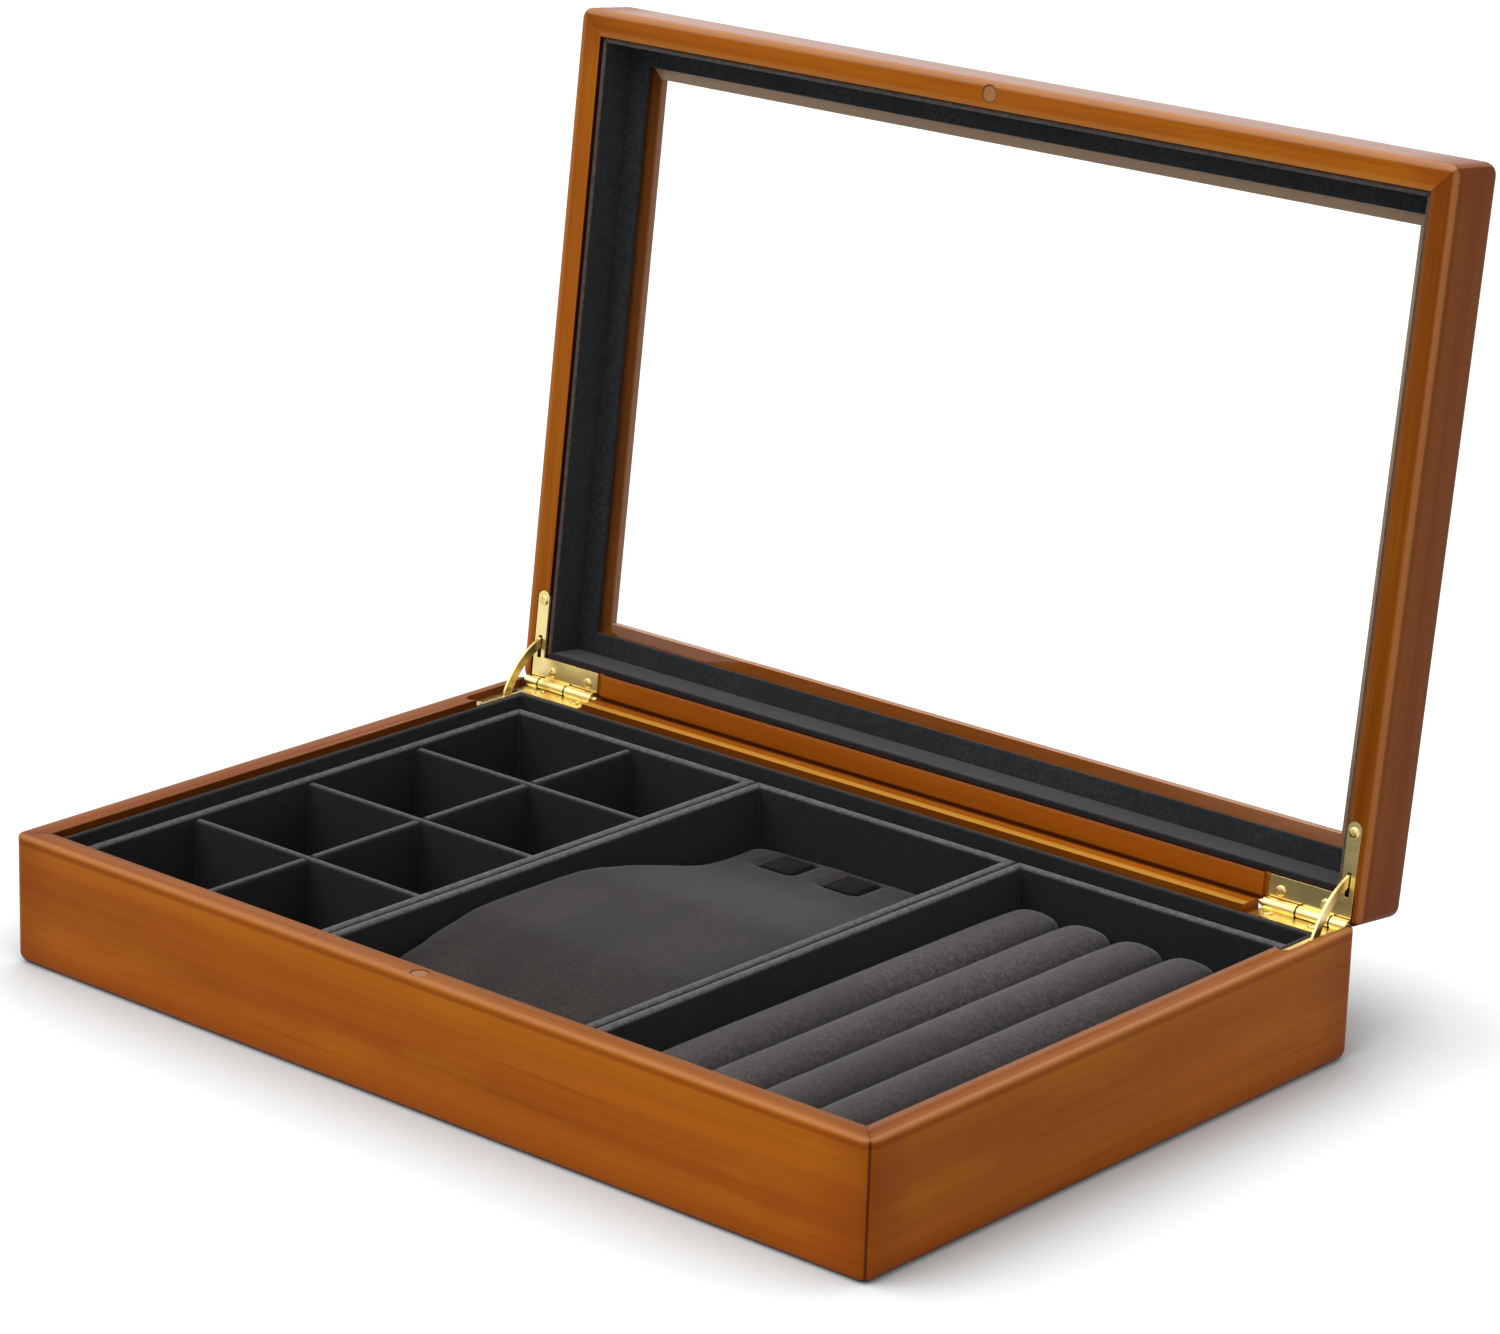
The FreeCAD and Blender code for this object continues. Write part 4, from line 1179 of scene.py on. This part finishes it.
@dataclass(frozen=True)
class Case(LinedFrame):
    """The base: four mitred walls round a bottom board."""

    def dress(self, finishes: Finishes) -> None:
        """Dress every piece of the base but its hinges.

        Args:
            finishes: The box's finishes.
        """
        for side in SIDES:
            node = f"base_{side}_wall"
            skin(node, finishes.next_board(node, side, Lean.LEVEL), self.wood_bevel)
            skin(f"base_lining_{side}", finishes.suede[Suede.LINING], self.suede_bevel)
        skin("base_bottom_panel", finishes.underside, self.wood_bevel)
        skin("floor_lining", finishes.suede[Suede.BOARD], self.suede_bevel)
        skin("base_magnet", MagnetFinish().material("base_magnet_lacquer", Lean.LEVEL), self.wood_bevel)


@dataclass(frozen=True)
class Lid(LinedFrame):
    """The lid: four mitred rails with a lip, and a pane held by four covered strips."""

    def dress(self, finishes: Finishes) -> None:
        """Dress every piece of the lid but its hinges.

        Args:
            finishes: The box's finishes.
        """
        for side in SIDES:
            node = f"lid_{side}_rail"
            skin(node, finishes.next_board(node, side, Lean.OPEN), self.wood_bevel)
            kind = Suede.LID_SHELF if side == "back" else Suede.LID_BOARD
            skin(f"lid_lining_{side}", finishes.suede[kind], self.suede_bevel)
            skin(f"glass_retainer_{side}", finishes.suede[Suede.RETAINER], self.suede_bevel)
        skin("lid_magnet", MagnetFinish().material("lid_magnet_lacquer", Lean.OPEN), self.wood_bevel)
        dress("glass_pane", finishes.glass)


@dataclass(frozen=True)
class HingeScrew:
    """A round-head screw with a cross recess, its head's seat at the origin and its shank down."""

    head: float = 1.85 * MM
    rise: float = 0.70 * MM
    shank: float = 0.80 * MM
    length: float = 7.4 * MM
    tip: float = 1.5 * MM
    recess_length: float = 2.1 * MM
    recess_width: float = 0.42 * MM
    recess_depth: float = 0.45 * MM
    rings: int = 6
    steps: int = 32

    def profile(self) -> list[tuple[float, float]]:
        """Draw the screw's outline.

        Returns:
            Radius and height from the crown to the tip.
        """
        angles = [math.radians(90.0 * step / self.rings) for step in range(self.rings)]
        dome = [(self.head * math.sin(a), self.rise * (0.25 + 0.75 * math.cos(a))) for a in angles]
        seat = [(self.head, self.rise * 0.2), (self.head, 0.0)]
        thread = [(self.shank, -0.02 * MM), (self.shank, self.tip - self.length)]
        return [*dome, *seat, *thread, (0.0, -self.length)]

    def mesh(self) -> Mesh:
        """Turn the screw and cut its recess.

        Returns:
            The mesh.
        """
        work = bmesh.new()
        rings = []
        for radius, height in self.profile():
            turns = [math.tau * step / self.steps for step in range(self.steps if radius else 1)]
            places = [(radius * math.cos(turn), radius * math.sin(turn), height) for turn in turns]
            rings.append([work.verts.new(place) for place in places])
        for upper, lower in zip(rings, rings[1:]):
            for step in range(self.steps):
                corners = [upper[step % len(upper)], lower[step % len(lower)]]
                corners += [lower[(step + 1) % len(lower)], upper[(step + 1) % len(upper)]]
                work.faces.new(list(dict.fromkeys(corners)))
        bmesh.ops.recalc_face_normals(work, faces=work.faces)
        mesh = plain_mesh(work, "screw")
        reach = (self.recess_length / 2, self.recess_width / 2)
        for x, y in (reach, reach[::-1]):
            blade = ((-x, -y, self.rise - self.recess_depth), (x, y, self.rise * 2))
            mesh = carve(mesh, block_mesh("recess", [blade]))
        soften(mesh, 35.0)
        return mesh


@dataclass(frozen=True)
class StopHinges:
    """Both stop hinges: leaves, pins, stay arms and twelve screws."""

    bevel: float = 0.12 * MM
    base_seat: float = 40.8 * MM
    lid_seat: float = 43.2 * MM
    places: tuple[tuple[float, float], ...] = ((145.0, 113.0), (161.7, 113.0), (168.4, 88.5))
    seed: int = 7

    def screw_tree(self) -> NodeTree:
        """Make the tree that sets a screw on every point, each turned about its own axis.

        Returns:
            The tree.
        """
        sketch, given, out = repeat_tree("hinge screws", {VECTOR: ("Tilt",), WHOLE: ("Seed",)})
        chance = {"Min": 0.0, "Max": math.pi, "Seed": given["Seed"]}
        angle = sketch.result("FunctionNodeRandomValue", chance, "Value", data_type="FLOAT")
        spin = sketch.result("FunctionNodeAxisAngleToRotation", {"Axis": (0.0, 0.0, 1.0), "Angle": angle})
        tilt = sketch.result("FunctionNodeEulerToRotation", {0: given["Tilt"]})
        both = {"Rotation": spin, "Rotate By": tilt}
        turned = sketch.result("FunctionNodeRotateRotation", both, rotation_space="GLOBAL")
        return put_out(sketch, given, out, repeated(sketch, given, Rotation=turned))

    def drive_screws(self, finishes: Finishes) -> None:
        """Drive the screws of both leaves on each side, one mesh for each body.

        Args:
            finishes: The box's finishes.
        """
        template = put("screw_template", HingeScrew().mesh())
        tree = self.screw_tree()
        swing = Matrix.Rotation(-OPEN_ANGLE, 3, "X")
        flat = [(side * x * MM, y * MM) for side in (1, -1) for x, y in self.places]
        closed = [Vector((*place, self.lid_seat)) for place in flat]
        seats = {
            "base": ([(*place, self.base_seat) for place in flat], 0.0),
            "lid": ([tuple(HINGE + swing @ (place - HINGE)) for place in closed], math.pi - OPEN_ANGLE),
        }
        values = {"Template": template, "Seed": self.seed, "Finish": finishes.brass}
        for body, (points, tilt) in seats.items():
            name = f"{body}_screws"
            mesh = grow(name, points, tree, values | {"Tilt": (tilt, 0.0, 0.0)})
            hand_over(show(name, mesh, finishes.brass), f"{body}_hinge_screws")
        set_aside(template)

    def dress(self, finishes: Finishes) -> None:
        """Dress the leaves, the pins and the arms, and drive the screws.

        Args:
            finishes: The box's finishes.
        """
        for side in ("right", "left"):
            for node in ("base_hinge_leaf", "lid_hinge_leaf", "stay_arm"):
                skin(f"{node}_{side}", finishes.brass, self.bevel)
        skin("hinge_pins", finishes.brass, self.bevel)
        self.drive_screws(finishes)


@dataclass(frozen=True)
class Tray:
    """One lift-out tray: four mitred walls of covered board round a floor."""

    name: str = "tray"
    suede_bevel: float = 0.30 * MM

    def dress_walls(self, finishes: Finishes) -> None:
        """Dress the walls and the floor."""
        for part in (*SIDES, "floor"):
            skin(f"{self.name}_tray_{part}", finishes.suede[Suede.BOARD], self.suede_bevel)


@dataclass(frozen=True)
class CompartmentTray(Tray):
    """The tray with eight compartments between covered dividers."""

    name: str = "compartment"
    rows: int = 3

    def dress(self, finishes: Finishes) -> None:
        """Dress the walls and the dividers.

        Args:
            finishes: The box's finishes.
        """
        self.dress_walls(finishes)
        for node in (*(f"row_divider_{number}" for number in range(1, self.rows + 1)), "column_divider"):
            skin(node, finishes.suede[Suede.DIVIDER], self.suede_bevel)


@dataclass(frozen=True)
class BraceletTray(Tray):
    """The tray with an arched pad and two straps through slots at its back end."""

    name: str = "bracelet"
    pad: PadShape = PadShape(49.6 * MM, 99.8 * MM, BED_Z + 0.3 * MM, 4.0 * MM, 4.0 * MM, 40, 72)
    stuffing: Stuffing = Stuffing(3.0 * MM, 1.3 * MM, 50.35 * MM, 100.60 * MM, 32.4 * MM)
    slot_offset: float = 6.4 * MM
    slot_half_x: float = 0.9 * MM
    slot_half_y: float = 7.4 * MM
    slot_foot: float = 13.0 * MM
    strap_middles: tuple[float, float] = (-25.5 * MM, 1.5 * MM)
    strap_y: float = 86.3 * MM
    strap_half: float = 6.8 * MM
    strap_foot: float = 13.4 * MM
    strap_top: float = 18.75 * MM
    strap_thickness: float = 0.8 * MM
    strap_bend: float = 1.3 * MM
    strap_crown: float = 0.12 * MM
    strap_columns: int = 8
    press_gap: float = 0.15 * MM
    press_reach: float = 4.0 * MM

    def dress(self, finishes: Finishes) -> None:
        """Dress the walls, stuff the pad and thread the straps.

        Args:
            finishes: The box's finishes.
        """
        self.dress_walls(finishes)
        self.stuff_pad(finishes)
        self.thread_straps(finishes)

    def stuff_pad(self, finishes: Finishes) -> None:
        """Make the pad as a stuffed cover, press it under the straps and cut its slots.

        Args:
            finishes: The box's finishes.
        """
        filled = self.stuffing.fill("pad_cover", self.pad)
        for vertex in filled.vertices:
            vertex.co.z = self.pressed(vertex.co)
        slots = []
        for middle in self.strap_middles:
            for x in (middle - self.slot_offset, middle + self.slot_offset):
                low = (x - self.slot_half_x, self.strap_y - self.slot_half_y, self.slot_foot)
                high = (x + self.slot_half_x, self.strap_y + self.slot_half_y, 2 * self.stuffing.top)
                slots.append((low, high))
        mesh = carve(filled, block_mesh("slots", slots))
        mesh.set_sharp_from_angle(angle=math.radians(50.0))
        pad = show("bracelet_pad_cover", mesh, finishes.suede[Suede.PAD])
        hand_over(pad, "bracelet_pad")

    def pressed(self, place: Vector) -> float:
        """Press the pad down where the straps lie on it.

        Args:
            place: A point of the pad.

        Returns:
            The point's new height.
        """
        height = place.z
        under = self.strap_top - self.strap_thickness / 2 - self.press_gap
        for middle in self.strap_middles:
            past_x = max(abs(place.x - middle) - self.slot_offset, 0.0)
            past_y = max(abs(place.y - self.strap_y) - self.strap_half, 0.0)
            hold = max(1.0 - math.hypot(past_x, past_y) / self.press_reach, 0.0)
            height += min(under - height, 0.0) * hold * hold * (3.0 - 2.0 * hold)
        return height

    def strap_line(self, middle: float) -> list[tuple[float, float]]:
        """Draw the middle line of one strap from slot to slot.

        Args:
            middle: The strap's middle along X.

        Returns:
            Its places along X and Z.
        """
        start, bend = middle - self.slot_offset, self.strap_bend
        line = [(start, self.strap_foot), (start, (self.strap_foot + self.strap_top) / 2)]
        for step in range(7):
            angle = math.radians(180.0 - 90.0 * step / 6)
            x = start + bend + bend * math.cos(angle)
            line.append((x, self.strap_top - bend + bend * math.sin(angle)))
        return line + [(2 * middle - x, z) for x, z in reversed(line)]

    def strap_point(self, x: float, z: float, column: int) -> Point:
        """Place one point of a strap's width, which is a little crowned where it lies on the pad.

        Args:
            x: The place along X of the strap's middle line.
            z: Its height.
            column: The point's number across the strap.

        Returns:
            The place.
        """
        share = 2 * column / self.strap_columns - 1
        crown = self.strap_crown * (1 - share * share) if z > self.strap_top - 0.1 * MM else 0.0
        return x, self.strap_y + share * self.strap_half, z + crown

    def thread_straps(self, finishes: Finishes) -> None:
        """Bend both straps down into their slots, as one piece.

        Args:
            finishes: The box's finishes.
        """
        work = bmesh.new()
        columns = range(self.strap_columns + 1)
        for middle in self.strap_middles:
            line = self.strap_line(middle)
            grid = [[work.verts.new(self.strap_point(x, z, column)) for column in columns] for x, z in line]
            for lower, upper in zip(grid, grid[1:]):
                for left, right in zip(columns, columns[1:]):
                    work.faces.new((lower[left], upper[left], upper[right], lower[right]))
        blank = put("strap_blank", plain_mesh(work, "strap_blank"))
        modify(blank, "SOLIDIFY", thickness=self.strap_thickness, offset=0.0)
        break_edges(blank, 0.2 * MM, 60.0)
        made = as_made(blank)
        set_aside(blank)
        soften(made, 50.0)
        hand_over(show("bracelet_strap_pair", made, finishes.suede[Suede.STRAP]), "bracelet_straps")


@dataclass(frozen=True)
class RingTray(Tray):
    """The tray with five stuffed rolls side by side."""

    name: str = "ring"
    count: int = 5
    step: float = 20.15 * MM
    roll: RollShape = RollShape(9.3 * MM, 99.8 * MM, BED_Z + 0.3 * MM, 3.2 * MM, 4.5 * MM, 20, 72)
    stuffing: Stuffing = Stuffing(2.4 * MM, 1.0 * MM, 10.0 * MM, 100.60 * MM, 27.6 * MM, smoothing=4)
    slack: float = 0.35 * MM
    seed: int = 11

    def dress(self, finishes: Finishes) -> None:
        """Dress the walls and lay the rolls.

        Args:
            finishes: The box's finishes.
        """
        self.dress_walls(finishes)
        finish = finishes.suede[Suede.ROLLS]
        template = put("roll_template", self.stuffing.fill("roll_cover", self.roll))
        first = TRAY_STEP - self.step * (self.count - 1) / 2
        seats = [(first + self.step * number, 0.0, 0.0) for number in range(self.count)]
        values = {"Template": template, "Slack": self.slack, "Seed": float(self.seed), "Finish": finish}
        mesh = grow("ring_roll_covers", seats, self.roll_tree(), values)
        set_aside(template)
        rolls = show("ring_roll_covers", mesh, finish)
        nodes = [f"ring_roll_{number}" for number in range(1, self.count + 1)]
        hand_over(rolls, *nodes)

    def roll_tree(self) -> NodeTree:
        """Make the tree that lays a roll on every point and lets each settle in its own way.

        Returns:
            The tree.
        """
        sketch, given, out = repeat_tree("ring rolls", {FLOAT: ("Slack", "Seed")})
        real = repeated(sketch, given)
        place = sketch.result("GeometryNodeInputPosition")
        wide = sketch.result("ShaderNodeVectorMath", {0: place, 1: (70.0, 28.0, 40.0)}, operation="MULTIPLY")
        inputs = {"Vector": wide, "W": given["Seed"], "Scale": 1.0, "Detail": 1.5}
        fold = sketch.result("ShaderNodeTexNoise", inputs, noise_dimensions="4D")
        rise = sketch.ramp(sketch.parts(place)[2], BED_Z + 5 * MM, BED_Z + 14 * MM)
        lift = sketch.product(sketch.math("SUBTRACT", fold, 0.6), given["Slack"], rise)
        offset = sketch.result("ShaderNodeCombineXYZ", {"Z": lift})
        settled = sketch.result("GeometryNodeSetPosition", {"Geometry": real, "Offset": offset})
        return put_out(sketch, given, out, settled)


@dataclass(frozen=True)
class Studio:
    """A pale floor, soft daylight and the camera."""

    floor_reach: float = 9.0
    floor_colour: Colour = (0.76, 0.80, 0.81)
    floor_glow: float = 0.48
    shadow_reach: float = 100.0 * MM
    shadow_from: float = 0.50
    shadow_samples: int = 8
    daylight: float = 0.42
    key: tuple[float, float, Point] = (1.6, 60.0, (0.35, 0.55, -1.0))
    fill: tuple[float, float, Point] = (0.35, 90.0, (-0.8, 0.5, -0.5))
    sensor: float = 36.0
    lens: float = 118.92
    shift_x: float = 0.1
    clip: tuple[float, float] = (0.01, 50.0)
    stand: Point = (0.94663, -1.09445, 0.57417)
    yaw: float = 0.7299
    pitch: float = 0.3093
    roll: float = 0.0218

    def seen(self, sketch: NodeSketch) -> NodeSocket:
        """Mark the rays that show the background to the camera, by itself or in metal and glass.

        Args:
            sketch: The sketch to add to.

        Returns:
            The output, which is 1 for these rays.
        """
        path = sketch.add("ShaderNodeLightPath").outputs
        indirect = sketch.math("MAXIMUM", path["Is Glossy Ray"], path["Is Transmission Ray"])
        return sketch.math("MAXIMUM", path["Is Camera Ray"], indirect)

    def hang_daylight(self) -> None:
        """Light the room evenly, and show it white."""
        world = bpy.data.worlds.new("Room")
        bpy.context.scene.world = world
        world.use_nodes = True
        world.node_tree.nodes.clear()
        sketch = NodeSketch(world.node_tree)
        strength = sketch.ramp(self.seen(sketch), 0.0, 1.0, self.daylight, 1.0)
        back = sketch.result("ShaderNodeBackground", {"Color": WHITE, "Strength": strength})
        sketch.add("ShaderNodeOutputWorld", {"Surface": back})

    def lay_floor(self) -> None:
        """Lay the pale floor, which keeps the box's shadow."""
        reach = self.floor_reach
        corners = [(-reach, -reach, 0.0), (reach, -reach, 0.0), (reach, reach, 0.0), (-reach, reach, 0.0)]
        mesh = bpy.data.meshes.new("floor")
        mesh.from_pydata(corners, [], [(0, 1, 2, 3)])
        made = bpy.data.materials.new("floor")
        made.use_nodes = True
        made.node_tree.nodes.clear()
        sketch = NodeSketch(made.node_tree)
        near = {"Distance": self.shadow_reach}
        open_air = sketch.result("ShaderNodeAmbientOcclusion", near, "AO", samples=self.shadow_samples)
        lit = sketch.ramp(open_air, self.shadow_from, 1.0)
        matt = sketch.result("ShaderNodeBsdfDiffuse", {"Color": (*self.floor_colour, 1.0)})
        strength = sketch.product(self.seen(sketch), self.floor_glow, lit)
        glow = sketch.result("ShaderNodeEmission", {"Color": WHITE, "Strength": strength})
        both = sketch.result("ShaderNodeAddShader", {0: matt, 1: glow})
        sketch.add("ShaderNodeOutputMaterial", {"Surface": both})
        show("floor", mesh, made)

    def hang_lamp(self, name: str, energy: float, angle: float, towards: Point) -> None:
        """Hang a soft sun.

        Args:
            name: The lamp's name.
            energy: Its strength.
            angle: How wide it looks, in degrees.
            towards: The direction it shines in.
        """
        data = bpy.data.lights.new(name, "SUN")
        data.energy = energy
        data.angle = math.radians(angle)
        put(name, data).rotation_euler = Vector(towards).to_track_quat("-Z", "Y").to_euler()

    def stand_camera(self) -> None:
        """Stand the camera where the picture was taken from."""
        data = bpy.data.cameras.new("camera")
        data.sensor_width = self.sensor
        data.lens = self.lens
        data.shift_x = self.shift_x
        data.clip_start, data.clip_end = self.clip
        level = math.cos(self.pitch)
        ahead = Vector((-math.sin(self.yaw) * level, math.cos(self.yaw) * level, -math.sin(self.pitch)))
        side = Vector((math.cos(self.yaw), math.sin(self.yaw), 0.0))
        above = side.cross(ahead)
        right = math.cos(self.roll) * side + math.sin(self.roll) * above
        up = -math.sin(self.roll) * side + math.cos(self.roll) * above
        turn = Matrix((right, up, -ahead)).transposed()
        camera = put("camera", data)
        camera.matrix_world = Matrix.Translation(self.stand) @ turn.to_4x4()
        bpy.context.scene.camera = camera

    def set_up(self) -> None:
        """Set up the whole studio."""
        self.stand_camera()
        self.hang_daylight()
        self.lay_floor()
        self.hang_lamp("key", *self.key)
        self.hang_lamp("fill", *self.fill)
        bpy.context.scene.view_settings.view_transform = "Standard"


def main() -> None:
    """Set up the studio, then build and dress every piece in order."""
    logging.basicConfig(level=logging.INFO, format="%(name)s: %(message)s")
    Studio().set_up()
    finishes = Finishes.mixed()
    for assembly in (Case(), Lid(), StopHinges(), CompartmentTray(), BraceletTray(), RingTray()):
        LOG.info("building %s", type(assembly).__name__)
        assembly.dress(finishes)


if __name__ == "__main__":
    main()
